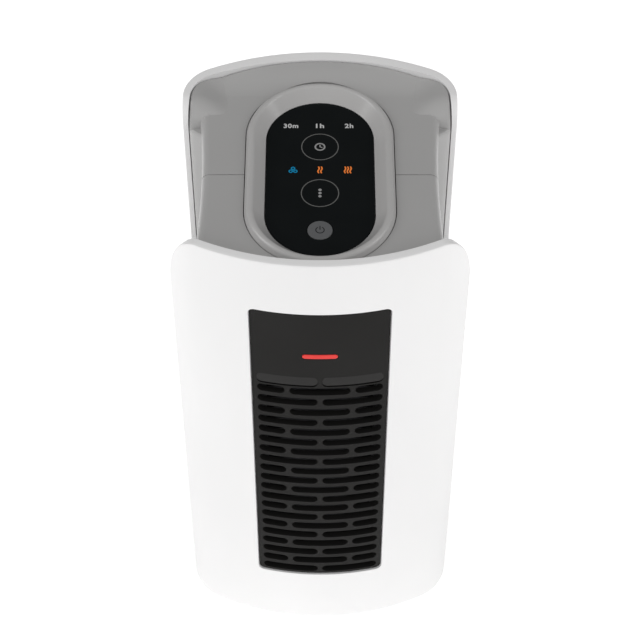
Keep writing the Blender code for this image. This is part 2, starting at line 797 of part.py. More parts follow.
def fan_baffle(material):
    """The wall between the intake side and the pressure side, with the fan's ring."""
    narrow = POCKET_X - CORE_WALL - GAP
    wide = 0.0600
    step = POCKET_TOP + CORE_WALL + GAP
    shoulder = step + 0.001
    outline = [(-narrow, 0.0076), (narrow, 0.0076), (narrow, step), (wide, shoulder), (wide, 0.330),
               (-wide, 0.330), (-wide, shoulder), (-narrow, step)]
    plate = plate_y([outline, circle(0.0, FAN_Z, FAN_HOLE + 0.0010)], BAFFLE_Y, BAFFLE_Y + BAFFLE_THICK)
    baffle = add_part("fan_baffle", plate, material)
    ring = plate_y([circle(0.0, FAN_Z, FAN_HOLE + 0.0020), circle(0.0, FAN_Z, FAN_HOLE)], -0.0180, 0.0055)
    combine(baffle, add_cutter("fan_ring", ring), "UNION")
    return baffle


def bar_with_disc(reach, half_height, radius, z, steps=10):
    """A straight bar across a round disc, as one outline."""
    start = math.asin(half_height / radius)
    points = [(reach, z - half_height), (reach, z + half_height)]
    for k in range(steps + 1):
        angle = start + (math.pi - 2 * start) * k / steps
        points.append((radius * math.cos(angle), z + radius * math.sin(angle)))
    points += [(-reach, z + half_height), (-reach, z - half_height)]
    for k in range(steps + 1):
        angle = math.pi + start + (math.pi - 2 * start) * k / steps
        points.append((radius * math.cos(angle), z + radius * math.sin(angle)))
    return points


def motor_parts(bracket_material, motor_material, shaft_material):
    y = BAFFLE_Y + BAFFLE_THICK + GAP
    bar = bar_with_disc(0.0470, 0.0050, 0.0185, FAN_Z)
    hole = circle(0.0, FAN_Z, 0.0035, 16)
    add_part("motor_bracket", plate_y([bar, hole], y, y + 0.0024), bracket_material)
    start = y + 0.0024 + GAP
    motor = add_part("fan_motor", cylinder(0.0170, (0, start, FAN_Z), (0, start + 0.024, FAN_Z)), motor_material)
    bevel(motor, 0.0012, 2)
    combine(motor, add_cutter("motor_bore", cylinder(SHAFT_RADIUS + GAP, (0, start - 0.01, FAN_Z),
                                                     (0, start + 0.018, FAN_Z), 16)))
    shaft = cylinder(SHAFT_RADIUS, (0, -0.0120, FAN_Z), (0, start + 0.0175, FAN_Z), 16)
    add_part("fan_shaft", shaft, shaft_material, origin=(0, 0, FAN_Z))


def fan_wheel(material):
    """A hub with pitched blades, in front of the motor."""
    hub = cylinder(FAN_HUB, (0, -0.0165, FAN_Z), (0, 0.0035, FAN_Z), 28)
    wheel = add_part("fan_wheel", hub, material, origin=(0, 0, FAN_Z))
    bevel(wheel, 0.0012, 2)
    blades = []
    root = FAN_HUB - 0.0030
    for k in range(FAN_BLADES):
        blade = box(root, FAN_TIP, -0.0009, 0.0009, -0.0105, 0.0105)
        pitch = Matrix.Rotation(math.radians(50), 4, "X")
        turn = Matrix.Rotation(FULL_TURN * k / FAN_BLADES, 4, "Y")
        place = Matrix.Translation((0, -0.0065, FAN_Z))
        bmesh.ops.transform(blade, matrix=place @ turn @ pitch, verts=blade.verts)
        blades.append(blade)
    combine(wheel, add_cutter("fan_blades", join(blades)), "UNION")
    combine(wheel, add_cutter("fan_bore", cylinder(SHAFT_RADIUS + GAP, (0, -0.0130, FAN_Z), (0, 0.01, FAN_Z), 16)))
    return wheel


def heater(frame_material, core_material, cutout_material):
    inner = HEATER_HALF - HEATER_RIM
    low = HEATER_BOTTOM + HEATER_RIM
    high = HEATER_TOP - HEATER_RIM
    frame = plate_y([rounded_box(-HEATER_HALF, HEATER_HALF, HEATER_BOTTOM, HEATER_TOP, 0.003, 2),
                     box_outline(-inner, inner, low, high)], HEATER_FRONT, HEATER_BACK)
    add_part("heater_frame", frame, frame_material)
    loops = [box_outline(-inner + GAP, inner - GAP, low + GAP, high - GAP)]
    pitch = (HEATER_TOP - HEATER_BOTTOM - 2 * FIN_MARGIN) / HEATER_FINS
    for k in range(HEATER_FINS):
        z = HEATER_BOTTOM + FIN_MARGIN + (k + 0.5) * pitch
        loops.append(box_outline(-FIN_HALF, FIN_HALF, z - FIN_GAP / 2, z + FIN_GAP / 2))
    add_part("heater_core", plate_y(loops, HEATER_FRONT + 0.002, HEATER_BACK - 0.002), core_material)
    cutout = box(-0.0075, 0.0075, HEATER_FRONT + 0.004, HEATER_FRONT + 0.012, HEATER_TOP + GAP,
                 HEATER_TOP + 0.006)
    add_part("thermal_cutout", cutout, cutout_material)


def power_board(material):
    """The board with its transformer, relay and capacitor as plain blocks."""
    top = POWER_BOARD_Z + BOARD_THICK
    board = add_part("power_board", box(-0.040, 0.040, 0.0120, 0.0550, POWER_BOARD_Z, top), material)
    base = top - 0.0006
    blocks = [box(-0.034, -0.008, 0.018, 0.042, base, top + 0.0204),
              box(0.006, 0.020, 0.020, 0.030, base, top + 0.0144),
              cylinder(0.0060, (0.030, 0.040, base), (0.030, 0.040, top + 0.0184), 20)]
    combine(board, add_cutter("board_blocks", join(blocks)), "UNION")


def inlet_socket(material):
    """The mains inlet: a block with a well and two contact pins."""
    socket = add_part("inlet_socket", box(-SOCKET_HALF, SOCKET_HALF, INLET_FRONT, INLET_BACK, SOCKET_BOTTOM,
                                          SOCKET_TOP), material)
    middle = (SOCKET_BOTTOM + SOCKET_TOP) / 2
    well = plate_y([slot(-WELL_HALF, WELL_HALF, middle, WELL_HEIGHT, 6)], WELL_FLOOR, INLET_BACK + 0.006)
    combine(socket, add_cutter("socket_well", well))
    pins = [cylinder(INLET_PIN_RADIUS, (x, WELL_FLOOR - 0.002, middle), (x, INLET_PIN_END, middle), 12)
            for x in (-INLET_PIN_X, INLET_PIN_X)]
    combine(socket, add_cutter("socket_pins", join(pins)), "UNION")


def intake_filter(material):
    pad = box(-0.036, 0.036, FILTER_FRONT, FILTER_FRONT + FILTER_THICK, INTAKE_BOTTOM - 0.003,
              INTAKE_TOP + 0.003)
    add_part("intake_filter", pad, material)


# ---------------------------------------------------------------- drying arms

def arm_outline(side, inset, top):
    """The arm from the front: a round hinge end, straight sides and a slightly narrower tip."""
    radius = ARM_HALF_THICK - inset
    points = []
    steps = 10
    for k in range(steps + 1):
        angle = math.pi + math.pi * k / steps
        points.append((ARM_X + radius * math.cos(angle), ARM_Z + radius * math.sin(angle)))
    points += [(ARM_X + radius - 0.0008, top), (ARM_X - radius + 0.0008, top)]
    return [(side * x, z) for x, z in points]


def arm_parts(side, word, shell_material, nozzle_material, pin_material, bracket_material):
    y0 = ARM_Y - ARM_HALF_WIDTH
    y1 = ARM_Y + ARM_HALF_WIDTH
    pivot = (side * ARM_X, ARM_Y, ARM_Z)
    arm = add_part("arm_" + word, plate_y([arm_outline(side, 0.0, ARM_TOP)], y0, y1), shell_material, origin=pivot)
    bevel(arm, 0.0022, 2)
    hollow = plate_y([arm_outline(side, ARM_SKIN, ARM_TOP + 0.02)], y0 + ARM_SKIN, y1 - ARM_SKIN)
    combine(arm, add_cutter("arm_hollow_" + word, hollow))
    bore = cylinder(PIN_RADIUS + GAP, (side * ARM_X, y0 - 0.01, ARM_Z), (side * ARM_X, y1 + 0.01, ARM_Z), 20)
    combine(arm, add_cutter("arm_bore_" + word, bore))
    mouth = box(-0.0050, 0.0050, -0.0300, -0.0110, -0.0160, -0.0060)
    lean = Matrix.Rotation(side * (math.pi / 2 - ARM_OPEN), 4, "Y")
    bmesh.ops.transform(mouth, matrix=Matrix.Translation(pivot) @ lean, verts=mouth.verts)
    combine(arm, add_cutter("arm_mouth_" + word, mouth))
    vents = []
    for row in range(4):
        z = ARM_TOP - 0.014 - row * 0.0115
        vent = upright(solid_from_outline([slot(-0.022, 0.022, z, 0.0050)], 0.06), 0.0)
        bmesh.ops.rotate(vent, matrix=Matrix.Rotation(math.pi / 2, 3, "Z"), verts=vent.verts)
        bmesh.ops.translate(vent, vec=(side * ARM_X, ARM_Y, 0.0), verts=vent.verts)
        vents.append(vent)
    combine(arm, add_cutter("arm_vents_" + word, join(vents)))

    x0, x1 = sorted((side * (ARM_X - ARM_HALF_THICK + 0.001), side * (ARM_X + ARM_HALF_THICK - 0.001)))
    nozzle_bottom = ARM_TOP + GAP
    nozzle = add_part("arm_nozzle_" + word, box(x0, x1, y0 + 0.0008, y1 - 0.0008, nozzle_bottom, ARM_TOP + 0.009),
                      nozzle_material, origin=pivot)
    bevel(nozzle, 0.0025, 2)
    gaps = []
    for k in range(3):
        y = ARM_Y + (k - 1) * 0.018
        gaps.append(box(x0 + 0.0055, x1 - 0.0055, y - 0.0065, y + 0.0065, ARM_TOP - 0.01, ARM_TOP + 0.02))
    combine(nozzle, add_cutter("nozzle_gaps_" + word, join(gaps)))

    pin_start = y0 - EAR_GAP - EAR_THICK - GAP
    pin_end = y1 + EAR_GAP + EAR_THICK + GAP
    pin = add_part("hinge_pin_" + word, cylinder(PIN_RADIUS, (side * ARM_X, pin_start - 0.001, ARM_Z),
                                                 (side * ARM_X, pin_end + 0.001, ARM_Z), 20), pin_material)
    heads = [cylinder(0.0045, (side * ARM_X, pin_start - 0.0014, ARM_Z), (side * ARM_X, pin_start, ARM_Z), 20),
             cylinder(0.0045, (side * ARM_X, pin_end, ARM_Z), (side * ARM_X, pin_end + 0.0014, ARM_Z), 20)]
    combine(pin, add_cutter("pin_heads_" + word, join(heads)), "UNION")
    hinge_bracket(side, word, y0, y1, bracket_material)


def hinge_bracket(side, word, y0, y1, material):
    """A U-shaped bracket on the base that carries the hinge pin."""
    radius = 0.0090
    foot = BASE_TOP + GAP
    ear = [(ARM_X + radius, foot)]
    steps = 10
    for k in range(steps + 1):
        angle = math.pi * k / steps
        ear.append((ARM_X + radius * math.cos(angle), ARM_Z + radius * math.sin(angle)))
    ear.append((ARM_X - radius, foot))
    ear = [(side * x, z) for x, z in ear]
    hole = circle(side * ARM_X, ARM_Z, PIN_RADIUS + GAP, 20)
    front_ear = plate_y([ear, hole], y0 - EAR_GAP - EAR_THICK, y0 - EAR_GAP)
    rear_ear = plate_y([ear, hole], y1 + EAR_GAP, y1 + EAR_GAP + EAR_THICK)
    x0, x1 = sorted((side * (ARM_X - radius + 0.001), side * (ARM_X + radius - 0.001)))
    overlap = EAR_GAP + EAR_THICK / 2
    floor = box(x0, x1, y0 - overlap, y1 + overlap, foot + GAP, foot + 0.0026)
    bracket = add_part("hinge_bracket_" + word, floor, material)
    combine(bracket, add_cutter("bracket_ears_" + word, join([front_ear, rear_ear])), "UNION")


# ---------------------------------------------------------------- base

def base_plate(material):
    inset = TUCK_INSET + GAP
    front = inner_line(front_stations(), lambda scale: FRONT_WALL + inset)
    rear = inner_line(rear_stations(), lambda scale: REAR_WALL * scale + inset, rear_share)
    outline = [tuple(point) for point in front]
    outline += [(RECESS_HALF, front[-1].y + 0.0015), (RECESS_HALF, REAR_EDGE_Y - 0.0010)]
    outline += [tuple(point) for point in reversed(rear)]
    outline += [(-RECESS_HALF, REAR_EDGE_Y - 0.0010), (-RECESS_HALF, front[0].y + 0.0015)]
    holes = [circle(x, y, SHAFT_RADIUS + GAP, 12) for x, y in SCREW_POINTS]
    base = add_part("base_plate", plate_z([outline] + holes, BASE_BOTTOM, BASE_TOP), material)
    wells = [cylinder(0.0034, (x, y, BASE_BOTTOM - 0.002), (x, y, BASE_BOTTOM + 0.0021), 16)
             for x, y in SCREW_POINTS]
    combine(base, add_cutter("screw_wells", join(wells)))


def feet_and_screws(foot_material, screw_material):
    words = ("front_left", "front_right", "rear_left", "rear_right")
    for word, (x, y) in zip(words, FOOT_POINTS):
        foot = cylinder(0.0070, (x, y, 0.0), (x, y, BASE_BOTTOM - GAP), 24, 0.0085)
        add_part("foot_" + word, foot, foot_material)
    for word, (x, y) in zip(words, SCREW_POINTS):
        head = BASE_BOTTOM + 0.0017
        screw = add_part("base_screw_" + word, cylinder(0.0029, (x, y, head - 0.0014), (x, y, head), 16),
                         screw_material)
        shank = cylinder(SHAFT_RADIUS, (x, y, head - 0.0005), (x, y, 0.0200), 12)
        combine(screw, add_cutter("shank_" + word, shank), "UNION")


def build():
    global PARTS, CUTTERS
    clear_scene()
    PARTS = make_collection("boot_dryer")
    CUTTERS = make_collection("cutters")

    white = make_material("white_plastic", (0.86, 0.86, 0.85), 0.45)
    grey = make_material("grey_plastic", (0.27, 0.27, 0.27), 0.35)
    bezel_grey = make_material("bezel_plastic", (0.30, 0.30, 0.30), 0.30)
    black = make_material("black_plastic", (0.03, 0.03, 0.03), 0.50)
    glass = make_material("panel_glass", (0.008, 0.009, 0.010), 0.08)
    button = make_material("button_plastic", (0.085, 0.085, 0.085), 0.40)
    red = make_material("light_lens", (0.75, 0.06, 0.05), 0.30)
    board = make_material("circuit_board", (0.03, 0.16, 0.07), 0.50)
    dark = make_material("dark_plastic", (0.05, 0.05, 0.055), 0.55)
    foam = make_material("foam", (0.06, 0.06, 0.06), 0.95)
    steel = make_material("steel", (0.60, 0.60, 0.60), 0.30, 1.0)
    aluminium = make_material("aluminium", (0.65, 0.66, 0.67), 0.40, 1.0)
    rubber = make_material("rubber", (0.03, 0.03, 0.03), 0.90)
    arm_grey = make_material("arm_plastic", (0.22, 0.22, 0.22), 0.45)

    front_cover(white)
    rear_cover(white)
    housings(grey)
    grille(black)
    light_bar(red)
    light_board(board)
    rear_grille(black)
    panel_bezel(bezel_grey)
    panel_glass(glass)
    power_button(button)
    panel_electronics(board, foam, dark)
    fan_baffle(dark)
    motor_parts(steel, dark, steel)
    fan_wheel(dark)
    heater(dark, aluminium, steel)
    power_board(board)
    inlet_socket(dark)
    intake_filter(foam)
    for side, word in ((-1, "left"), (1, "right")):
        arm_parts(side, word, arm_grey, dark, steel, steel)
    base_plate(dark)
    feet_and_screws(rubber, steel)


build()
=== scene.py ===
import json
import math

import bmesh
import bpy
from mathutils import Matrix, Vector


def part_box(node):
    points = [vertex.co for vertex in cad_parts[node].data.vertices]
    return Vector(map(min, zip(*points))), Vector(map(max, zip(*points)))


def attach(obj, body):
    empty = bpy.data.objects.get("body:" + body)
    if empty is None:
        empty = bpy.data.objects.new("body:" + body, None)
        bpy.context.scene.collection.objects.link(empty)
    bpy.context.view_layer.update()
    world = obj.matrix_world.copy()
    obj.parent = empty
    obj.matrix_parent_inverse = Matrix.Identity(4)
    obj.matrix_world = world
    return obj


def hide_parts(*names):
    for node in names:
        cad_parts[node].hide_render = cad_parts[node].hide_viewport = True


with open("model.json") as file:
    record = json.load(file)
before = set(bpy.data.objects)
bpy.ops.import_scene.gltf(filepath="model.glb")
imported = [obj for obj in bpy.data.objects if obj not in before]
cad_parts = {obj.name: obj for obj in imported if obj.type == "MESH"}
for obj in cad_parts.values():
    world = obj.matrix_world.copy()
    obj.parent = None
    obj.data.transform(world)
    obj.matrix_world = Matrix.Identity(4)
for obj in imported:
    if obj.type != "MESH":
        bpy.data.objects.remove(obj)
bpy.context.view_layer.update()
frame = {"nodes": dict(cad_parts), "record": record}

# Sizes read from the frame
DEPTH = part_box("rear_cover")[1].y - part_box("front_cover")[0].y
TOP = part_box("front_cover")[1].z
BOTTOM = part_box("front_cover")[0].z
GLASS_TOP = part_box("panel_glass")[1].z
GLASS_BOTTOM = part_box("panel_glass")[0].z
DECK_Z = TOP - 0.0068
RIDGE_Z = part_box("panel_bezel")[1].z
GAP = 0.0004
FULL_TURN = 2 * math.pi

# Front cover
FRONT_RADIUS = 0.155
FRONT_CORNER = 0.029
FRONT_HALF = 0.085
FRONT_END_ANGLE = math.radians(80)
FRONT_WALL = 0.0048
FRONT_CHAMFER = 0.00124
FRONT_FLAT_TOP = 0.0695
FRONT_SHOULDER = 53.0
TUCK_RADIUS = 0.006
TUCK_HEIGHT = 0.0052
TUCK_STEPS = 8

# Rear cover
REAR_RADIUS = 0.1513
REAR_CORNER = 0.0255
REAR_HALF = 0.0793
REAR_EDGE_Y = 0.0354
REAR_WALL = 0.0077
REAR_EDGE_SHARE = 0.42
REAR_CHAMFER = 0.0015
REAR_SHOULDER = 0.0136
INTAKE_HALF = 0.0345
INTAKE_BOTTOM = 0.110
INTAKE_TOP = 0.210
INTAKE_ROWS = 9
INTAKE_SLOT = (0.0016, 0.0300)
INTAKE_SLOT_HEIGHT = 0.0060
SOCKET_REACH = 0.0110 + 0.0012
SOCKET_BOTTOM, SOCKET_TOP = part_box("inlet_socket")[0].z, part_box("inlet_socket")[1].z

# Grille
GRILLE_HALF = 0.0399
GRILLE_BOTTOM, GRILLE_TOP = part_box("grille")[0].z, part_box("grille")[1].z
GRILLE_CORNER = 0.0034
GRILLE_RECESS = 0.0010
GRILLE_EDGE = 0.0005
SLOT_ROWS = 20
SLOT_PITCH = 0.00973
SLOT_FIRST = TOP - 0.1090
SLOT_HEIGHT = 0.0065
SLOT_END = 0.0370
SLOT_RIB = 0.0027
SLOT_MIDDLE = 0.01785
PAD_TOP = SLOT_FIRST + 0.0132
PAD_BOTTOM = SLOT_FIRST + 0.0064
PAD_CORNER = 0.0030
PAD_RISE = 0.0006
PAD_SHADOW = 0.0020
BAR_HALF = 0.0102
BAR_HEIGHT = 0.0035
BAR_Z = (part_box("light_bar")[0].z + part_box("light_bar")[1].z) / 2

# Grey core
SEAM_Y = -0.0099
SEAM_GAP = 0.0004
SEAM_EDGE = 0.00025
CORE_WALL = 0.0024
CORE_BOTTOM = 0.0073
CORE_GAP = 0.0007
CORE_BACK = DEPTH / 2 + 0.001
DECK_RISE_Y = 0.0530
DECK_RISE_END = 0.0790
DECK_RISE = 0.0060
NECK_HALF = 0.0664
NECK_SPREAD = 0.85
NECK_WAIST_Y = -0.018
NECK_EDGE = 0.0050
FLARE_EDGE = 0.0025
FLARE_HALF = 0.0755
FLARE_START = 0.0255
FLARE_END = 0.0350
FLARE_ROOT = 0.0030
SHOULDER_DROP = 0.0008
DISH_INSIDE = 0.0200
DISH_OUTSIDE = 0.0020
POCKET_X = 0.0515
POCKET_FRONT = -0.0455
POCKET_BACK = 0.0345
POCKET_TOP = 0.252
PASSAGE_HALF = 0.0505
PASSAGE_TOP = 0.333
WINDOW_HALF = 0.0385
WINDOW_BOTTOM = 0.0600
WINDOW_TOP = 0.3150
PORT_X = (0.0460, 0.0560)
PORT_Y = (-0.0360, -0.0160)
PORT_Z = (0.0200, 0.0360)
SCREW_POINTS = ((-0.0465, -0.032), (0.0465, -0.032), (-0.0465, 0.022), (0.0465, 0.022))
SCREW_RADIUS = 0.0029

# Control panel
PANEL_Y = -0.0079
PANEL_HALF_WIDTH = 0.0305
PANEL_HALF_LENGTH = 0.0597
BEZEL_REACH = 0.0115
BEZEL_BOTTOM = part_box("panel_bezel")[0].z
LEDGE_TOP = 0.3440
BUTTON_Y = -0.0489
BUTTON_RADIUS = 0.0069
BUTTON_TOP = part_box("power_button")[1].z
BUTTON_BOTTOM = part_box("power_button")[0].z
TIMER_Y = 0.0159
MODE_Y = -0.0206
KEY_RADIUS = 0.0107
KEY_LINE = 0.00055
LABEL_Y = 0.0330
LABEL_X = 0.0167
LABEL_HEIGHT = 0.0036
LABEL_WIDTHS = {"30m": 0.0084, "1h": 0.0047, "2h": 0.0049}
ICON_Y = -0.0025
ICON_X = 0.0154
PRINT = 0.00005

# Drying arms
ARM_X = 0.0665
ARM_Z = 0.028
ARM_Y = -0.0055
ARM_HALF_THICK = 0.012
ARM_HALF_WIDTH = 0.033
ARM_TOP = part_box("arm_right")[1].z
ARM_SKIN = 0.002
ARM_OPEN = math.radians(50)
PIN_RADIUS = 0.003
VENT_ROWS = 4
VENT_PITCH = 0.0115
VENT_HALF = 0.022
VENT_HEIGHT = 0.0050
NOZZLE_HEIGHT = 0.009

# Camera, in metres from the top front edge of the object
CAMERA_BACK = 0.687
CAMERA_UP = 0.7675
CAMERA_TILT = math.radians(40.26)
CAMERA_LENS = 108.9


def make_camera():
    data = bpy.data.cameras.new("camera")
    data.lens = CAMERA_LENS
    data.sensor_width = 36
    data.clip_start = 0.05
    camera = bpy.data.objects.new("camera", data)
    camera.location = (0.0, -DEPTH / 2 - CAMERA_BACK, TOP + CAMERA_UP)
    camera.rotation_euler = (CAMERA_TILT, 0.0, 0.0)
    bpy.context.scene.collection.objects.link(camera)
    bpy.context.scene.camera = camera


# ---------------------------------------------------------------- materials

class Shader:
    """A material's Principled shader, with short calls that add texture nodes to it."""

    def __init__(self, name, colour, roughness, metallic=0.0, specular=0.5):
        self.material = bpy.data.materials.new(name)
        self.material.use_nodes = True
        self.tree = self.material.node_tree
        self.shader = self.tree.nodes["Principled BSDF"]
        self.colour = (*colour, 1.0)
        self.roughness = roughness
        self.set("Base Color", self.colour)
        self.set("Roughness", roughness)
        self.set("Metallic", metallic)
        self.set("Specular IOR Level", specular)
        self.coords = self.tree.nodes.new("ShaderNodeTexCoord").outputs["Object"]

    def set(self, socket, value):
        self.shader.inputs[socket].default_value = value

    def link(self, source, target):
        self.tree.links.new(source, target)

    def noise(self, scale, detail=3.0, stretch=None):
        node = self.tree.nodes.new("ShaderNodeTexNoise")
        node.inputs["Scale"].default_value = scale
        node.inputs["Detail"].default_value = detail
        source = self.coords
        if stretch:
            mapping = self.tree.nodes.new("ShaderNodeMapping")
            mapping.inputs["Scale"].default_value = stretch
            self.link(source, mapping.inputs["Vector"])
            source = mapping.outputs["Vector"]
        self.link(source, node.inputs["Vector"])
        return node.outputs["Fac"]

    def cells(self, scale, feature="F1"):
        node = self.tree.nodes.new("ShaderNodeTexVoronoi")
        node.feature = feature
        node.inputs["Scale"].default_value = scale
        self.link(self.coords, node.inputs["Vector"])
        return node.outputs["Distance"]

    def spread(self, source, low, high, start=0.35, end=0.65):
        """Maps a texture's middle range onto low to high."""
        node = self.tree.nodes.new("ShaderNodeMapRange")
        for socket, value in (("From Min", start), ("From Max", end), ("To Min", low), ("To Max", high)):
            node.inputs[socket].default_value = value
        self.link(source, node.inputs["Value"])
        return node.outputs["Result"]

    def calculate(self, operation, *values):
        """A maths node. Each value is a number or another node's output."""
        node = self.tree.nodes.new("ShaderNodeMath")
        node.operation = operation
        for value, socket in zip(values, node.inputs):
            if isinstance(value, float):
                socket.default_value = value
            else:
                self.link(value, socket)
        return node.outputs[0]

    def air_passage(self, half_width, top):
        """1 inside the core's air passage, where its painted shade goes, otherwise 0."""
        place = self.tree.nodes.new("ShaderNodeSeparateXYZ")
        self.link(self.coords, place.inputs[0])
        across = self.calculate("ABSOLUTE", place.outputs[0])
        return self.calculate("MULTIPLY", self.calculate("LESS_THAN", across, half_width),
                              self.calculate("LESS_THAN", place.outputs[2], top))

    def tint(self, factor, other):
        """Mixes the colour so far with another one."""
        node = self.tree.nodes.new("ShaderNodeMix")
        node.data_type = "RGBA"
        node.inputs[6].default_value = self.colour
        node.inputs[7].default_value = (*other, 1.0)
        socket = self.shader.inputs["Base Color"]
        if socket.is_linked:
            self.link(socket.links[0].from_socket, node.inputs[6])
        self.link(factor, node.inputs[0])
        self.link(node.outputs[2], socket)

    def vary_roughness(self, source, amount):
        self.link(self.spread(source, self.roughness - amount, self.roughness + amount),
                  self.shader.inputs["Roughness"])

    def bump(self, source, depth):
        node = self.tree.nodes.new("ShaderNodeBump")
        node.inputs["Distance"].default_value = depth
        self.link(source, node.inputs["Height"])
        socket = self.shader.inputs["Normal"]
        if socket.is_linked:
            self.link(socket.links[0].from_socket, node.inputs["Normal"])
        self.link(node.outputs["Normal"], socket)

    def edge_wear(self, colour):
        """Lighter, rubbed edges, where the surface turns outwards."""
        edges = self.tree.nodes.new("ShaderNodeNewGeometry").outputs["Pointiness"]
        rubbed = self.calculate("MULTIPLY", self.spread(edges, 0.0, 0.5, 0.53, 0.60),
                                self.spread(self.noise(140.0), 0.3, 1.0))
        self.tint(rubbed, colour)


def lighter(colour, factor):
    return tuple(min(1.0, value * factor) for value in colour)


def moulded(name, colour, roughness, grain=0.00002, grain_scale=1800.0, specular=0.5, painted_shade_inside=False):
    """Moulded plastic: a fine spark-eroded grain and faint flow marks.

    The last flag paints the air passage inside the core nearly black, as painted shade for the unlit inside
    seen through the grille slots.
    """
    shader = Shader(name, colour, roughness, specular=specular)
    shader.tint(shader.spread(shader.noise(14.0, stretch=(1.0, 1.0, 0.4)), 0.0, 0.5), lighter(colour, 0.95))
    # Painted shade: the inside of the air passage is coloured nearly black, where little light reaches.
    if painted_shade_inside:
        shader.tint(shader.air_passage(PASSAGE_HALF, PASSAGE_TOP), (0.006, 0.006, 0.006))
    shader.vary_roughness(shader.noise(22.0), 0.04)
    shader.bump(shader.noise(grain_scale, 2.0), grain)
    return shader.material


def touch_glass():
    """Black printed glass: nearly flat, with faint wiping marks in its gloss."""
    shader = Shader("panel_glass", (0.0066, 0.0080, 0.0084), 0.13, specular=0.16)
    shader.tint(shader.spread(shader.noise(60.0), 0.0, 0.6), (0.0080, 0.0094, 0.0099))
    shader.vary_roughness(shader.noise(35.0, 5.0, (1.0, 0.35, 1.0)), 0.05)
    shader.bump(shader.noise(30.0), 0.00001)
    return shader.material


def print_ink(name, colour, glow=0.0):
    """Screen-printed ink with a fine dither, and lit from behind where it glows."""
    shader = Shader(name, colour, 0.42, specular=0.25)
    shader.tint(shader.spread(shader.noise(2600.0, 1.0), 0.0, 0.35), lighter(colour, 0.7))
    shader.bump(shader.noise(3000.0, 1.0), 0.00001)
    if glow:
        shader.set("Emission Color", shader.colour)
        shader.set("Emission Strength", glow)
    return shader.material


def light_lens():
    """A frosted red lens, lit from behind."""
    shader = Shader("light_lens", (0.68, 0.026, 0.021), 0.38, specular=0.3)
    shader.tint(shader.spread(shader.noise(420.0), 0.0, 0.35), (0.76, 0.038, 0.031))
    shader.vary_roughness(shader.noise(700.0), 0.05)
    shader.bump(shader.noise(1500.0), 0.00001)
    shader.set("Emission Color", (0.80, 0.036, 0.029, 1.0))
    shader.set("Emission Strength", 0.14)
    return shader.material


def metal(name, colour, roughness, stretch):
    """Rolled or drawn metal: fine lines along one direction and small dull patches."""
    shader = Shader(name, colour, roughness, metallic=1.0)
    shader.tint(shader.spread(shader.noise(45.0), 0.0, 0.6), lighter(colour, 0.82))
    shader.edge_wear(lighter(colour, 1.2))
    shader.vary_roughness(shader.noise(900.0, 4.0, stretch), 0.10)
    shader.bump(shader.noise(1600.0, 3.0, stretch), 0.00002)
    return shader.material


def rubber():
    shader = Shader("rubber", (0.030, 0.030, 0.032), 0.82, specular=0.3)
    shader.tint(shader.spread(shader.noise(90.0, 5.0), 0.0, 0.7), (0.052, 0.050, 0.048))
    shader.vary_roughness(shader.noise(300.0), 0.08)
    shader.bump(shader.cells(1400.0), 0.00006)
    return shader.material


def foam():
    """Open foam: small dark pores between lighter walls."""
    shader = Shader("foam", (0.055, 0.055, 0.058), 0.92, specular=0.2)
    shader.tint(shader.spread(shader.cells(900.0), 0.0, 0.8, 0.15, 0.45), (0.012, 0.012, 0.013))
    shader.set("Sheen Weight", 0.25)
    shader.vary_roughness(shader.noise(200.0), 0.05)
    shader.bump(shader.cells(900.0), 0.0004)
    return shader.material


def circuit_board():
    """Green lacquer over darker copper paths, with a woven glass base under it."""
    shader = Shader("circuit_board", (0.022, 0.120, 0.052), 0.38)
    paths = shader.cells(210.0, "DISTANCE_TO_EDGE")
    shader.tint(shader.spread(paths, 0.9, 0.0, 0.02, 0.06), (0.014, 0.070, 0.034))
    shader.tint(shader.spread(shader.noise(900.0), 0.0, 0.3), (0.040, 0.170, 0.080))
    shader.vary_roughness(shader.noise(120.0), 0.06)
    shader.bump(paths, 0.00008)
    return shader.material


def make_materials():
    """One finish for each of the record's material slots, and the inks of the panel."""
    return {
        "white_plastic": moulded("white_plastic", (0.885, 0.880, 0.879), 0.42),
        # The grey core's inside is coloured with painted shade.
        "grey_plastic": moulded("grey_plastic", (0.432, 0.428, 0.424), 0.33, painted_shade_inside=True),
        "bezel_plastic": moulded("bezel_plastic", (0.500, 0.493, 0.488), 0.22, grain=0.00001),
        "black_plastic": moulded("black_plastic", (0.0170, 0.0163, 0.0156), 0.55, specular=0.07),
        # Painted light: the pads' plastic is a lighter copy of the black plastic, for their upward-sloping
        # faces.
        "pad_plastic": moulded("pad_plastic", (0.0300, 0.0292, 0.0284), 0.50, specular=0.10),
        "panel_glass": touch_glass(),
        "button_plastic": moulded("button_plastic", (0.126, 0.129, 0.133), 0.45, specular=0.3),
        "light_lens": light_lens(),
        "circuit_board": circuit_board(),
        "dark_plastic": moulded("dark_plastic", (0.008, 0.008, 0.009), 0.65, grain_scale=1200.0,
                                specular=0.12),
        "foam": foam(),
        "steel": metal("steel", (0.56, 0.56, 0.57), 0.32, (1.0, 0.06, 1.0)),
        # Painted shade: the heater core's aluminium is coloured near black, as it sits in shade behind the
        # grille.
        "aluminium": metal("aluminium", (0.045, 0.045, 0.047), 0.60, (0.05, 1.0, 1.0)),
        "rubber": rubber(),
        "arm_plastic": moulded("arm_plastic", (0.250, 0.248, 0.246), 0.42, grain=0.00004,
                               grain_scale=1500.0),
        "white_ink": print_ink("white_ink", (0.62, 0.62, 0.62)),
        "ring_ink": print_ink("ring_ink", (0.150, 0.150, 0.146)),
        "icon_ink": print_ink("icon_ink", (0.34, 0.34, 0.34)),
        "blue_ink": print_ink("blue_ink", (0.004, 0.185, 0.350), 0.35),
        "orange_ink": print_ink("orange_ink", (0.72, 0.185, 0.035), 0.30),
        "dark_ink": print_ink("dark_ink", (0.012, 0.012, 0.013)),
    }


# ---------------------------------------------------------------- outlines

def circle(u, v, radius, steps=64):
    return [(u + radius * math.cos(FULL_TURN * k / steps), v + radius * math.sin(FULL_TURN * k / steps))
            for k in range(steps)]


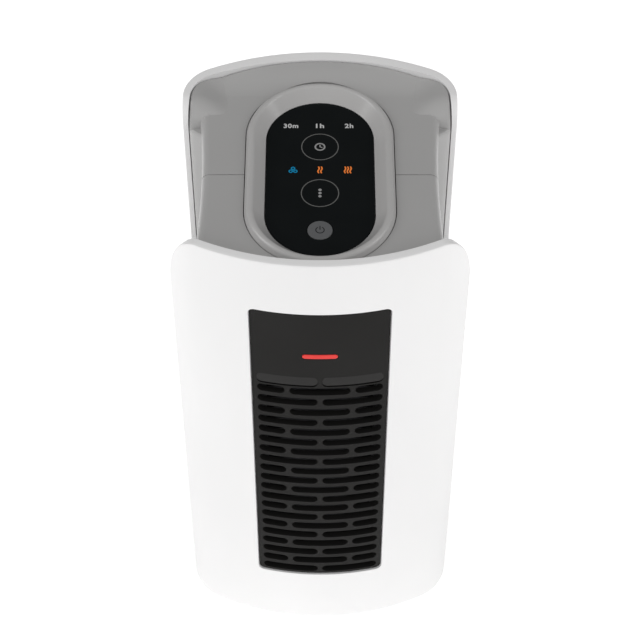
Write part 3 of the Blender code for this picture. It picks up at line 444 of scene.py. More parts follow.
def rounded_box(u0, u1, v0, v1, radius, steps=8):
    """A rectangle with round corners, counter-clockwise."""
    corners = ((u1 - radius, v1 - radius, 0), (u0 + radius, v1 - radius, 1),
               (u0 + radius, v0 + radius, 2), (u1 - radius, v0 + radius, 3))
    points = []
    for u, v, quarter in corners:
        for k in range(steps + 1):
            angle = (quarter + k / steps) * math.pi / 2
            points.append((u + radius * math.cos(angle), v + radius * math.sin(angle)))
    return points


def box_outline(u0, u1, v0, v1):
    return [(u0, v0), (u1, v0), (u1, v1), (u0, v1)]


def socket_opening():
    return box_outline(-SOCKET_REACH, SOCKET_REACH, SOCKET_BOTTOM - GAP, SOCKET_TOP + GAP)


def obround(half_width, half_length, centre_v, steps=56):
    """Two straight sides along v, joined by half circles."""
    reach = half_length - half_width
    points = []
    for end in (0, 1):
        for k in range(steps + 1):
            angle = math.pi * (end + k / steps)
            side = reach if end == 0 else -reach
            points.append((half_width * math.cos(angle), centre_v + side + half_width * math.sin(angle)))
    return points


def slot(u0, u1, v, height, steps=10):
    """A slot along u with half-round ends."""
    radius = height / 2
    points = []
    for end, u in ((0, u1 - radius), (1, u0 + radius)):
        for k in range(steps + 1):
            angle = math.pi * (end + k / steps) - math.pi / 2
            points.append((u + radius * math.cos(angle), v + radius * math.sin(angle)))
    return points


def stroke(line, width, cap_steps=6):
    """The outline of a line drawn with a round pen."""
    points = [Vector(point) for point in line]
    sides = []
    for first, middle, last in zip([points[0]] + points[:-1], points, points[1:] + [points[-1]]):
        along = (last - first).normalized()
        sides.append(Vector((-along.y, along.x)) * width / 2)
    left = [point + side for point, side in zip(points, sides)]
    right = [point - side for point, side in zip(points, sides)]
    outline = list(left)
    for centre, side, back in ((points[-1], sides[-1], right[::-1]), (points[0], -sides[0], [])):
        for k in range(1, cap_steps):
            turn = Matrix.Rotation(-math.pi * k / cap_steps, 2)
            outline.append(centre + turn @ side)
        outline += back
    return [tuple(point) for point in outline]


def arc(u, v, radius, start, end, steps=28):
    """Points on part of a circle. The angles are in degrees."""
    line = []
    for k in range(steps + 1):
        angle = math.radians(start + (end - start) * k / steps)
        line.append((u + radius * math.cos(angle), v + radius * math.sin(angle)))
    return line


def round_edge(half, top, radius, steps):
    """A quarter circle from the side of a section to its top."""
    points = []
    for k in range(steps + 1):
        angle = math.pi / 2 * k / steps
        points.append((half - radius * (1 - math.cos(angle)), top - radius * (1 - math.sin(angle))))
    return points


def cover_stations(radius, corner, half, end_angle, side_y, facing, main_steps, corner_steps=16):
    """Points along a cover's plan outline, as (distance, point, inward normal)."""
    arc_angle = math.asin((half - corner) / (radius - corner))
    corner_depth = radius - math.sqrt((radius - corner) ** 2 - (half - corner) ** 2)
    apex = facing * DEPTH / 2
    right = []
    for k in range(main_steps + 1):
        angle = arc_angle * k / main_steps
        right.append((radius * math.sin(angle), radius - radius * math.cos(angle), angle))
    for k in range(1, corner_steps + 1):
        angle = arc_angle + (end_angle - arc_angle) * k / corner_steps
        right.append((half - corner + corner * math.sin(angle), corner_depth - corner * math.cos(angle),
                      angle))
    if side_y is not None:
        right.append((half, apex * facing - side_y * facing, end_angle))
    line = [(-x, depth, -angle) for x, depth, angle in reversed(right[1:])] + right
    points = [Vector((x, apex - facing * depth)) for x, depth, angle in line]
    normals = [Vector((-math.sin(angle), -facing * math.cos(angle))) for x, depth, angle in line]
    lengths = [0.0]
    for first, second in zip(points, points[1:]):
        lengths.append(lengths[-1] + (second - first).length)
    middle = lengths[-1] / 2
    return [(length - middle, point, normal) for length, point, normal in zip(lengths, points, normals)]


def front_stations():
    return cover_stations(FRONT_RADIUS, FRONT_CORNER, FRONT_HALF, FRONT_END_ANGLE, None, -1, 32)


def rear_stations():
    return cover_stations(REAR_RADIUS, REAR_CORNER, REAR_HALF, math.pi / 2, REAR_EDGE_Y, 1, 30)


def rear_share(distance, end):
    """How much of the full wall thickness the rear cover has at this distance from its middle."""
    ratio = min(1.0, abs(distance) / end)
    return REAR_EDGE_SHARE + (1 - REAR_EDGE_SHARE) * (1 - ratio * ratio)


def inner_line(stations, inset, share=None):
    """The plan outline moved inwards. A share function thins the wall towards the ends."""
    end = stations[-1][0]
    line = []
    for distance, point, normal in stations:
        scale = share(distance, end) if share else 1.0
        line.append(point + normal * inset(scale))
    return line


# ---------------------------------------------------------------- mesh tools

def filled(curve):
    """The shape of a curve or of lettering, as a bmesh. The curve itself is dropped."""
    holder = bpy.data.objects.new("outline", curve)
    bpy.context.scene.collection.objects.link(holder)
    depsgraph = bpy.context.evaluated_depsgraph_get()
    mesh = bpy.data.meshes.new_from_object(holder.evaluated_get(depsgraph))
    bm = bmesh.new()
    bm.from_mesh(mesh)
    bpy.data.objects.remove(holder, do_unlink=True)
    bpy.data.curves.remove(curve)
    bpy.data.meshes.remove(mesh)
    return bm


def solid_from_outline(loops, thickness):
    """A flat filled curve with thickness, as a bmesh. Later loops are holes."""
    curve = bpy.data.curves.new("outline", "CURVE")
    curve.dimensions = "2D"
    curve.fill_mode = "BOTH"
    curve.extrude = thickness / 2
    for loop in loops:
        spline = curve.splines.new("POLY")
        spline.points.add(len(loop) - 1)
        for point, (u, v) in zip(spline.points, loop):
            point.co = (u, v, 0.0, 1.0)
        spline.use_cyclic_u = True
    bm = filled(curve)
    bmesh.ops.remove_doubles(bm, verts=bm.verts, dist=1e-6)
    bmesh.ops.recalc_face_normals(bm, faces=bm.faces)
    return bm


def upright(bm, y):
    """Turns an outline drawn in X and Z so that its thickness lies along Y, centred on y."""
    turn = Matrix.Translation((0.0, y, 0.0)) @ Matrix.Rotation(math.pi / 2, 4, "X")
    bmesh.ops.transform(bm, matrix=turn, verts=bm.verts)
    return bm


def plate_z(loops, z0, z1):
    """A plate between two heights, from outlines in X and Y."""
    bm = solid_from_outline(loops, z1 - z0)
    bmesh.ops.translate(bm, vec=(0.0, 0.0, (z0 + z1) / 2), verts=bm.verts)
    return bm


def plate_y(loops, y0, y1):
    """A plate between two depths, from outlines in X and Z."""
    return upright(solid_from_outline(loops, y1 - y0), (y0 + y1) / 2)


def box(x0, x1, y0, y1, z0, z1):
    bm = bmesh.new()
    bmesh.ops.create_cube(bm, size=1.0)
    bmesh.ops.scale(bm, vec=(x1 - x0, y1 - y0, z1 - z0), verts=bm.verts)
    bmesh.ops.translate(bm, vec=((x0 + x1) / 2, (y0 + y1) / 2, (z0 + z1) / 2), verts=bm.verts)
    return bm


def cylinder(radius, start, end, steps=64):
    """A cylinder between two points on a line parallel to an axis."""
    start = Vector(start)
    end = Vector(end)
    bm = bmesh.new()
    bmesh.ops.create_cone(bm, cap_ends=True, segments=steps, radius1=radius, radius2=radius,
                          depth=(end - start).length)
    turn = (end - start).to_track_quat("Z", "Y").to_matrix().to_4x4()
    bmesh.ops.transform(bm, matrix=Matrix.Translation((start + end) / 2) @ turn, verts=bm.verts)
    return bm


def skin(bm, rings, capped=True):
    """Faces between rings of equal size. The end rings are capped, or else joined to each other."""
    following = rings[1:] if capped else rings[1:] + rings[:1]
    for first, second in zip(rings, following):
        count = len(first)
        for k in range(count):
            bm.faces.new((first[k], first[(k + 1) % count], second[(k + 1) % count], second[k]))
    if capped:
        bm.faces.new(rings[0])
        bm.faces.new(rings[-1])
    bmesh.ops.recalc_face_normals(bm, faces=bm.faces)
    return bm


def turned(profile, x, y, steps=64):
    """A closed profile of (radius, height), turned about an upright axis."""
    bm = bmesh.new()
    rings = []
    for radius, height in profile:
        rings.append([bm.verts.new((x + u, y + v, height)) for u, v in circle(0.0, 0.0, radius, steps)])
    return skin(bm, rings)


def join(pieces):
    """Puts several bmeshes into the first one."""
    first = pieces[0]
    for piece in pieces[1:]:
        mesh = bpy.data.meshes.new("joined")
        piece.to_mesh(mesh)
        piece.free()
        first.from_mesh(mesh)
        bpy.data.meshes.remove(mesh)
    return first


def make_object(name, bm, material=None):
    mesh = bpy.data.meshes.new(name)
    bm.to_mesh(mesh)
    bm.free()
    item = bpy.data.objects.new(name, mesh)
    bpy.context.scene.collection.objects.link(item)
    if material:
        mesh.materials.append(material)
    return item


def bevel(item, width, segments=3, angle=math.radians(40)):
    modifier = item.modifiers.new("bevel", "BEVEL")
    modifier.width = width
    modifier.segments = segments
    modifier.limit_method = "ANGLE"
    modifier.angle_limit = angle


def combine(item, bm, operation="DIFFERENCE"):
    """Cuts or joins another shape with a Boolean, at once, and drops that shape."""
    bmesh.ops.recalc_face_normals(bm, faces=bm.faces)
    other = make_object("cutter", bm)
    modifier = item.modifiers.new("boolean", "BOOLEAN")
    modifier.operation = operation
    modifier.solver = "EXACT"
    modifier.object = other
    apply_modifiers(item)
    bpy.data.objects.remove(other, do_unlink=True)


def apply_modifiers(item):
    depsgraph = bpy.context.evaluated_depsgraph_get()
    mesh = bpy.data.meshes.new_from_object(item.evaluated_get(depsgraph))
    old = item.data
    item.modifiers.clear()
    item.data = mesh
    bpy.data.meshes.remove(old)


def finish_piece(item, body, replaced=(), sharp=math.radians(40)):
    """Smooth shading with even faces kept flat, then the piece's body and the CAD nodes it replaces."""
    apply_modifiers(item)
    item.data.shade_smooth()
    item.data.set_sharp_from_angle(angle=sharp)
    weighted = item.modifiers.new("weighted", "WEIGHTED_NORMAL")
    weighted.keep_sharp = True
    weighted.weight = 60
    apply_modifiers(item)
    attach(item, body)
    if replaced:
        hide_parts(*replaced)


def piece(name, bm, materials, slot_name, node, sharp=math.radians(40)):
    """A piece of the housing that replaces one CAD node."""
    finish_piece(make_object(name, bm, materials[slot_name]), "housing", [node], sharp)


# ---------------------------------------------------------------- bent shells

def tuck(height):
    """How far a cover turns inwards at this height above its lower edge."""
    below = max(0.0, TUCK_HEIGHT - height)
    return TUCK_RADIUS - math.sqrt(TUCK_RADIUS**2 - below**2)


def round_rim(bm, level, outline, edge, opening_edge, segments):
    """Rounds the outer face's edges: the first outline's by one width and the openings' by another."""
    border = {(round(u, 6), round(v, 6)) for u, v in outline}
    for width, wanted in ((edge, True), (opening_edge, False)):
        rim = []
        for item in bm.edges:
            flat = all(abs(vert.co.z - level) < 1e-6 for vert in item.verts)
            on_border = all((round(vert.co.x, 6), round(vert.co.y, 6)) in border for vert in item.verts)
            if flat and on_border == wanted and item.calc_face_angle(0.0) > 1.0:
                rim.append(item)
        if width and rim:
            bmesh.ops.bevel(bm, geom=rim, offset=width, segments=segments, profile=0.5, affect="EDGES",
                            clamp_overlap=False, loop_slide=False)


def bent_plate(loops, stations, outside, inside, edge=0.0, segments=3, share=None, tucked=False, rise=None,
               opening_edge=0.0004):
    """A plate drawn flat as (distance along the outline, height), bent round a plan outline.

    outside and inside are the depths of its two faces behind the plan outline. edge rounds the
    outer face's rim. rise gives how far the outer face stands out at a height.
    """
    bm = solid_from_outline(loops, inside - outside)
    outer = (inside - outside) / 2
    bmesh.ops.dissolve_limit(bm, angle_limit=math.radians(0.1), verts=bm.verts, edges=bm.edges)
    round_rim(bm, outer, loops[0], edge, opening_edge, segments)
    cuts = [(Vector((distance, 0, 0)), Vector((1, 0, 0))) for distance, point, normal in stations[1:-1]]
    if tucked:
        cuts += [(Vector((0, BOTTOM + TUCK_HEIGHT * (k + 1) / TUCK_STEPS, 0)), Vector((0, 1, 0)))
                 for k in range(TUCK_STEPS)]
    for place, direction in cuts:
        bmesh.ops.bisect_plane(bm, geom=bm.verts[:] + bm.edges[:] + bm.faces[:], dist=1e-6,
                               plane_co=place, plane_no=direction)
    end = stations[-1][0]
    index = 0
    for vert in sorted(bm.verts, key=lambda item: item.co.x):
        distance, height, out = vert.co
        while index < len(stations) - 2 and distance > stations[index + 1][0]:
            index += 1
        start_distance, start_point, start_normal = stations[index]
        next_distance, next_point, next_normal = stations[index + 1]
        ratio = (distance - start_distance) / (next_distance - start_distance)
        point = start_point.lerp(next_point, ratio)
        normal = start_normal.lerp(next_normal, ratio)
        depth = outside + outer - out
        if rise and out > 0:
            depth -= rise(height)
        if share:
            depth *= share(distance, end)
        if tucked:
            depth += tuck(height - BOTTOM)
        place = point + normal * depth
        vert.co = (place.x, place.y, height)
    bmesh.ops.remove_doubles(bm, verts=bm.verts, dist=0.00002)
    bmesh.ops.dissolve_degenerate(bm, edges=bm.edges, dist=0.00002)
    bmesh.ops.recalc_face_normals(bm, faces=bm.faces)
    return bm


def front_cover(materials):
    stations = front_stations()
    end = stations[-1][0]
    steps = 24
    shoulder = []
    for k in range(steps + 1):
        distance = FRONT_FLAT_TOP + (end - FRONT_FLAT_TOP) * k / steps
        shoulder.append((distance, TOP - FRONT_SHOULDER * (distance - FRONT_FLAT_TOP) ** 2))
    outline = [(-end, BOTTOM), (end, BOTTOM)] + shoulder[::-1]
    outline += [(-distance, height) for distance, height in shoulder]
    opening = rounded_box(-GRILLE_HALF - GAP, GRILLE_HALF + GAP, GRILLE_BOTTOM - GAP, GRILLE_TOP + GAP,
                          GRILLE_CORNER + GAP)
    bm = bent_plate([outline, opening], stations, 0.0, FRONT_WALL, FRONT_CHAMFER, 2, tucked=True)
    piece("front_cover_shell", bm, materials, "white_plastic", "front_cover")


def rear_cover(materials):
    stations = rear_stations()
    end = stations[-1][0]
    corner = round_edge(end, TOP, REAR_SHOULDER, 20)
    outline = [(-end, BOTTOM), (end, BOTTOM)] + corner
    outline += [(-distance, height) for distance, height in corner[::-1]]
    intake = rounded_box(-INTAKE_HALF - GAP, INTAKE_HALF + GAP, INTAKE_BOTTOM - GAP, INTAKE_TOP + GAP,
                         0.008)
    bm = bent_plate([outline, intake, socket_opening()], stations, 0.0, REAR_WALL, REAR_CHAMFER, 3,
                    rear_share, True)
    piece("rear_cover_shell", bm, materials, "white_plastic", "rear_cover")


def grille_slots():
    """Rows of three slots and rows of two slots, by turns."""
    loops = []
    for row in range(SLOT_ROWS):
        z = SLOT_FIRST - row * SLOT_PITCH
        if row % 2 == 0:
            spans = ((-SLOT_END, -SLOT_MIDDLE - SLOT_RIB), (-SLOT_MIDDLE, SLOT_MIDDLE),
                     (SLOT_MIDDLE + SLOT_RIB, SLOT_END))
        else:
            spans = ((-SLOT_END, -SLOT_RIB / 2), (SLOT_RIB / 2, SLOT_END))
        loops += [slot(start, end, z, SLOT_HEIGHT) for start, end in spans]
    return loops


def pad_outlines(inset, drop):
    """The outlines of the two blind pads above the slots, made smaller and lowered where asked."""
    loops = []
    for side in (-1, 1):
        near, far = sorted((side * SLOT_RIB / 2, side * SLOT_END))
        loops.append(rounded_box(near + inset, far - inset, PAD_BOTTOM - drop, PAD_TOP - drop, PAD_CORNER))
    return loops


def grille(materials):
    outline = rounded_box(-GRILLE_HALF, GRILLE_HALF, GRILLE_BOTTOM, GRILLE_TOP, GRILLE_CORNER)
    bar_hole = slot(-BAR_HALF - GAP, BAR_HALF + GAP, BAR_Z, BAR_HEIGHT + 2 * GAP)
    pad_gaps = pad_outlines(0.0001, PAD_SHADOW)
    bm = bent_plate([outline, bar_hole] + pad_gaps + grille_slots(), front_stations(), GRILLE_RECESS,
                    FRONT_WALL, GRILLE_EDGE, 2, opening_edge=0.0)
    piece("grille_plate", bm, materials, "black_plastic", "grille")


def grille_pads(materials):
    """The blind pads slope outwards to an undercut lower edge with a gap under it."""
    height = PAD_TOP - PAD_BOTTOM
    pads = [bent_plate([outline], front_stations(), GRILLE_RECESS - 0.00002, GRILLE_RECESS + 0.0003,
                       0.0002, 2, rise=lambda z: PAD_RISE * min(1.0, (PAD_TOP - z) / height))
            for outline in pad_outlines(0.0, 0.0)]
    item = make_object("grille_pads", join(pads), materials["pad_plastic"])
    finish_piece(item, "housing")


def light_bar(materials):
    bar = slot(-BAR_HALF, BAR_HALF, BAR_Z, BAR_HEIGHT)
    bm = bent_plate([bar], front_stations(), GRILLE_RECESS - 0.0001, FRONT_WALL, 0.0003, 2)
    piece("light_bar_lens", bm, materials, "light_lens", "light_bar")


def rear_grille(materials):
    loops = [rounded_box(-INTAKE_HALF, INTAKE_HALF, INTAKE_BOTTOM, INTAKE_TOP, 0.0076)]
    near, far = INTAKE_SLOT
    for row in range(INTAKE_ROWS):
        z = INTAKE_BOTTOM + (row + 0.75) * (INTAKE_TOP - INTAKE_BOTTOM) / (INTAKE_ROWS + 0.5)
        loops.append(slot(-far, -near, z, INTAKE_SLOT_HEIGHT))
        loops.append(slot(near, far, z, INTAKE_SLOT_HEIGHT))
    bm = bent_plate(loops, rear_stations(), 0.0008, 0.0050, 0.0005, 2)
    piece("rear_grille_plate", bm, materials, "black_plastic", "rear_grille")


# ---------------------------------------------------------------- grey core

def smooth_step(value, low, high):
    """0 below low, 1 above high, and smooth between."""
    ratio = min(1.0, max(0.0, (value - low) / (high - low)))
    return ratio * ratio * (3 - 2 * ratio)


def neck_half_width(y):
    """Half the neck's width, slightly waisted."""
    return min(NECK_HALF + NECK_SPREAD * (y - NECK_WAIST_Y) ** 2, FLARE_HALF - 0.001)


def flare_half_width(y):
    """Half the flare's width: it grows out of the neck's side until it meets the rear cover."""
    root = neck_half_width(y) - FLARE_ROOT
    return root + (FLARE_HALF - root) * smooth_step(y, FLARE_START, FLARE_END)


def deck_height(y):
    return DECK_Z + DECK_RISE * smooth_step(y, DECK_RISE_Y, DECK_RISE_END)


def shoulder_height(y):
    """The flare's top, which follows the rear cover's round upper corner."""
    forward = min(1.0, max(0.0, (REAR_EDGE_Y + REAR_SHOULDER - y) / REAR_SHOULDER))
    return TOP - SHOULDER_DROP - REAR_SHOULDER * (1 - math.sqrt(1 - forward * forward))


def loft(stations, section):
    """A closed solid through the sections at the given places along Y, mirrored in X."""
    bm = bmesh.new()
    rings = []
    for y in stations:
        right = section(y)
        left = [(-x, z) for x, z in reversed(right)]
        rings.append([bm.verts.new((x, y, z)) for x, z in right + left])
    return skin(bm, rings)


def spaced(marks, steps):
    """Places along Y, with the given number of steps between each two marks."""
    places = []
    for first, second, count in zip(marks, marks[1:], steps):
        places += [first + (second - first) * k / count for k in range(count)]
    return places + [marks[-1]]


def neck_solid(inset):
    def section(y):
        half = neck_half_width(y) - inset
        top = deck_height(y) - inset
        return [(half, CORE_BOTTOM - inset)] + round_edge(half, top, NECK_EDGE - inset, 12)
    marks = [-DEPTH / 2, FLARE_START, DECK_RISE_Y, DECK_RISE_END, CORE_BACK]
    return loft(spaced(marks, (20, 8, 20, 2)), section)


def flare_solid(inset, dish_steps=20):
    """The wide rear part. Its top dips towards the middle, where the neck's deck takes over."""
    def section(y):
        half = flare_half_width(y) - inset
        radius = max(FLARE_EDGE - inset, 0.0005)
        shoulder = shoulder_height(y) - inset
        middle = deck_height(y) - inset - GAP
        inside = neck_half_width(y) - DISH_INSIDE
        outside = neck_half_width(y) + DISH_OUTSIDE
        points = [(half, CORE_BOTTOM - inset)] + round_edge(half, shoulder, radius, 8)
        start = points[-1][0]
        for k in range(1, dish_steps + 1):
            x = start + (inside - start) * k / dish_steps
            points.append((x, middle + (shoulder - middle) * smooth_step(x, inside, outside)))
        return points
    marks = [FLARE_START, FLARE_END, REAR_EDGE_Y + REAR_SHOULDER, DECK_RISE_END, CORE_BACK]
    return loft(spaced(marks, (20, 20, 16, 2)), section)


def plan_prism(inset):
    """The space inside both covers, seen from above, less an inset."""
    wide = 0.095
    front = inner_line(front_stations(), lambda scale: FRONT_WALL + GAP + inset)
    rear = inner_line(rear_stations(), lambda scale: REAR_WALL * scale + CORE_GAP + inset, rear_share)
    outline = [tuple(point) for point in front]
    outline += [(wide, front[-1].y + GAP), (wide, REAR_EDGE_Y - GAP)]
    outline += [tuple(point) for point in reversed(rear)]
    outline += [(-wide, REAR_EDGE_Y - GAP), (-wide, front[0].y + GAP)]
    return plate_z([outline], -0.03, 0.40)


def pockets(grow):
    """The two side recesses that the drying arms fold into."""
    sides = []
    for side in (-1, 1):
        near, far = sorted((side * (POCKET_X - grow), side * 0.11))
        sides.append(box(near, far, POCKET_FRONT - grow, POCKET_BACK + grow, -0.02, POCKET_TOP + grow))
    return join(sides)


def core_openings():
    """Holes through the core's walls: panel, grille, intake, mains socket and arm air ports."""
    rim = BEZEL_REACH + GAP
    cuts = [plate_z([obround(PANEL_HALF_WIDTH + rim, PANEL_HALF_LENGTH + rim, PANEL_Y)], 0.335, 0.37)]
    window = rounded_box(-WINDOW_HALF, WINDOW_HALF, WINDOW_BOTTOM, WINDOW_TOP, 0.004)
    cuts.append(plate_y([window], -0.0900, -0.0600))
    intake = rounded_box(-0.0325, 0.0325, INTAKE_BOTTOM + 0.002, INTAKE_TOP - 0.002, 0.006)
    cuts.append(plate_y([intake], 0.0560, 0.0900))
    cuts.append(plate_y([socket_opening()], 0.0570, 0.0910))
    for side in (-1, 1):
        near, far = sorted((side * PORT_X[0], side * PORT_X[1]))
        cuts.append(box(near, far, *PORT_Y, *PORT_Z))
    return join(cuts)


def core_body(name, inset, material=None):
    """The neck and the flare, kept inside the covers and cut away for the arms."""
    item = make_object(name, neck_solid(inset), material)
    combine(item, flare_solid(inset), "UNION")
    combine(item, plan_prism(inset), "INTERSECT")
    combine(item, pockets(inset))
    return item


def housings(materials):
    """The hollow core, split into a front and a rear half at the seam across the deck."""
    core = core_body("core", 0.0, materials["grey_plastic"])
    hollow = core_body("hollow", CORE_WALL)
    inside = bmesh.new()
    inside.from_mesh(hollow.data)
    bpy.data.objects.remove(hollow, do_unlink=True)
    combine(core, inside)
    combine(core, core_openings())
    halves = (("front_housing_shell", "front_housing", -0.2, SEAM_Y - SEAM_GAP / 2),
              ("rear_housing_shell", "rear_housing", SEAM_Y + SEAM_GAP / 2, 0.2))
    for name, node, y0, y1 in halves:
        half = bpy.data.objects.new(name, core.data.copy())
        bpy.context.scene.collection.objects.link(half)
        combine(half, box(-0.1, 0.1, y0, y1, -0.05, 0.45), "INTERSECT")
        bevel(half, SEAM_EDGE, 2, math.radians(50))
        finish_piece(half, "housing", [node], math.radians(50))
    bpy.data.objects.remove(core, do_unlink=True)


# ---------------------------------------------------------------- control panel

def ring_sweep(profile, half_width, half_length, centre_y):
    """A closed profile of (offset outwards, height), carried round an obround in plan."""
    bm = bmesh.new()
    rings = []
    for offset, height in profile:
        loop = obround(half_width + offset, half_length + offset, centre_y)
        rings.append([bm.verts.new((x, y, height)) for x, y in loop])
    return skin(bm, rings, capped=False)


def bezel(materials):
    """An inner slope up to a round ridge, an outer wall through the deck and a ledge for the glass."""
    ridge = arc(0.0080, RIDGE_Z - 0.0026, 0.0026, 135, 15, 16)
    profile = [(GAP, GLASS_TOP - 0.0001), (0.0008, GLASS_TOP + 0.0003)] + ridge
    profile += [(BEZEL_REACH - 0.0003, RIDGE_Z - 0.0031), (BEZEL_REACH, RIDGE_Z - 0.0036),
                (BEZEL_REACH, BEZEL_BOTTOM), (0.0097, BEZEL_BOTTOM), (0.0097, 0.3500), (0.0085, 0.3500),
                (0.0030, LEDGE_TOP), (0.0030, BEZEL_BOTTOM), (-0.0020, BEZEL_BOTTOM), (-0.0020, LEDGE_TOP),
                (GAP, LEDGE_TOP)]
    piece("panel_bezel_ring", ring_sweep(profile, PANEL_HALF_WIDTH, PANEL_HALF_LENGTH, PANEL_Y), materials,
          "bezel_plastic", "panel_bezel", math.radians(36))


def glass(materials):
    outline = obround(PANEL_HALF_WIDTH, PANEL_HALF_LENGTH, PANEL_Y)
    hole = circle(0.0, BUTTON_Y, BUTTON_RADIUS + GAP)
    pane = make_object("panel_glass_pane", plate_z([outline, hole], GLASS_BOTTOM, GLASS_TOP),
                       materials["panel_glass"])
    bevel(pane, 0.0002, 2)
    finish_piece(pane, "housing", ["panel_glass"])


def printed(name, outlines, z, material, body="housing"):
    """A thin printed layer. Each outline is a list of loops, of which the later ones are holes."""
    layers = [plate_z(loops, z - PRINT / 2, z + PRINT / 2) for loops in outlines]
    item = make_object(name, join(layers), material)
    finish_piece(item, body)


def label(name, words, x, material):
    """A printed word, drawn bold and wide, fitted to its stated width and height."""
    curve = bpy.data.curves.new(name, "FONT")
    curve.body = words
    curve.align_x = "CENTER"
    curve.size = 1.0
    curve.offset = 0.030
    curve.space_character = 1.12
    curve.fill_mode = "FRONT"
    bm = filled(curve)
    low = Vector(min(vert.co[axis] for vert in bm.verts) for axis in (0, 1))
    high = Vector(max(vert.co[axis] for vert in bm.verts) for axis in (0, 1))
    middle = (low + high) / 2
    bmesh.ops.translate(bm, vec=(-middle.x, -middle.y, 0.0), verts=bm.verts)
    wide = LABEL_WIDTHS[words] / (high.x - low.x)
    tall = LABEL_HEIGHT / (high.y - low.y)
    bmesh.ops.scale(bm, vec=(wide, tall, 1.0), verts=bm.verts)
    bmesh.ops.translate(bm, vec=(x, LABEL_Y, GLASS_TOP + PRINT), verts=bm.verts)
    item = make_object(name, bm, material)
    finish_piece(item, "housing")


def heat_wave(x, y, height):
    """One upright S-shaped line."""
    steps = 16
    line = []
    for k in range(steps + 1):
        share = k / steps
        line.append((x + 0.00035 * math.sin(FULL_TURN * share), y + height * (0.5 - share)))
    return [stroke(line, 0.00082)]


def three_lobes(x, y, size):
    """A small fan symbol: three open rings set round a centre."""
    shapes = []
    for k in range(3):
        angle = math.pi / 2 + FULL_TURN * k / 3
        u = x + size * 0.56 * math.cos(angle)
        v = y + size * 0.56 * math.sin(angle)
        shapes.append([circle(u, v, size * 0.46, 32), circle(u, v, size * 0.23, 24)])
    return shapes


def panel_graphics(materials):
    z = GLASS_TOP + PRINT / 2
    for words, x in (("30m", -LABEL_X), ("1h", 0.0), ("2h", LABEL_X)):
        label("label_" + words, words, x, materials["white_ink"])
    for name, y in (("timer_key_ring", TIMER_Y), ("mode_key_ring", MODE_Y)):
        printed(name, [[circle(0.0, y, KEY_RADIUS, 96), circle(0.0, y, KEY_RADIUS - KEY_LINE, 96)]], z,
                materials["ring_ink"])
    clock = [[circle(0.0, TIMER_Y, 0.0031), circle(0.0, TIMER_Y, 0.0022)],
             [stroke([(0.0, TIMER_Y + 0.0014), (0.0, TIMER_Y), (0.0011, TIMER_Y - 0.0005)], 0.0007)]]
    printed("clock_symbol", clock, z, materials["icon_ink"])
    dots = [[circle(0.0, MODE_Y + k * 0.00245, 0.00093, 24)] for k in (-1, 0, 1)]
    printed("mode_dots", dots, z, materials["icon_ink"])
    printed("fan_symbol", three_lobes(-ICON_X + 0.0002, ICON_Y - 0.0003, 0.0027), z, materials["blue_ink"])
    low_heat = [heat_wave(x, ICON_Y, 0.0046) for x in (-0.0008, 0.0008)]
    printed("low_heat_symbol", low_heat, z, materials["orange_ink"])
    high_heat = [heat_wave(ICON_X + 0.0003 + x, ICON_Y, 0.0046) for x in (-0.00155, 0.0, 0.00155)]
    printed("high_heat_symbol", high_heat, z, materials["orange_ink"])


def power_button(materials):
    disc = make_object("power_button_cap", cylinder(BUTTON_RADIUS, (0, BUTTON_Y, BUTTON_BOTTOM),
                                                    (0, BUTTON_Y, BUTTON_TOP - PRINT), 96),
                       materials["button_plastic"])
    bevel(disc, 0.0003, 3)
    finish_piece(disc, "power_key", ["power_button"])
    symbol = [[stroke(arc(0.0, BUTTON_Y, 0.0023, 125, 415), 0.0005)],
              [stroke([(0.0, BUTTON_Y + 0.0028), (0.0, BUTTON_Y + 0.0004)], 0.0005)]]
    printed("power_symbol", symbol, BUTTON_TOP - PRINT / 2, materials["dark_ink"], "power_key")


# ---------------------------------------------------------------- drying arms

def arm_outline(side, inset, top):
    """The arm from the front: a round hinge end, straight sides and a slightly narrower tip."""
    radius = ARM_HALF_THICK - inset
    points = arc(ARM_X, ARM_Z, radius, 180, 360)
    points += [(ARM_X + radius - 0.0008, top), (ARM_X - radius + 0.0008, top)]
    return [(side * x, z) for x, z in points]


def arms(materials):
    for side, word in ((-1, "left"), (1, "right")):
        arm(side, word, materials)


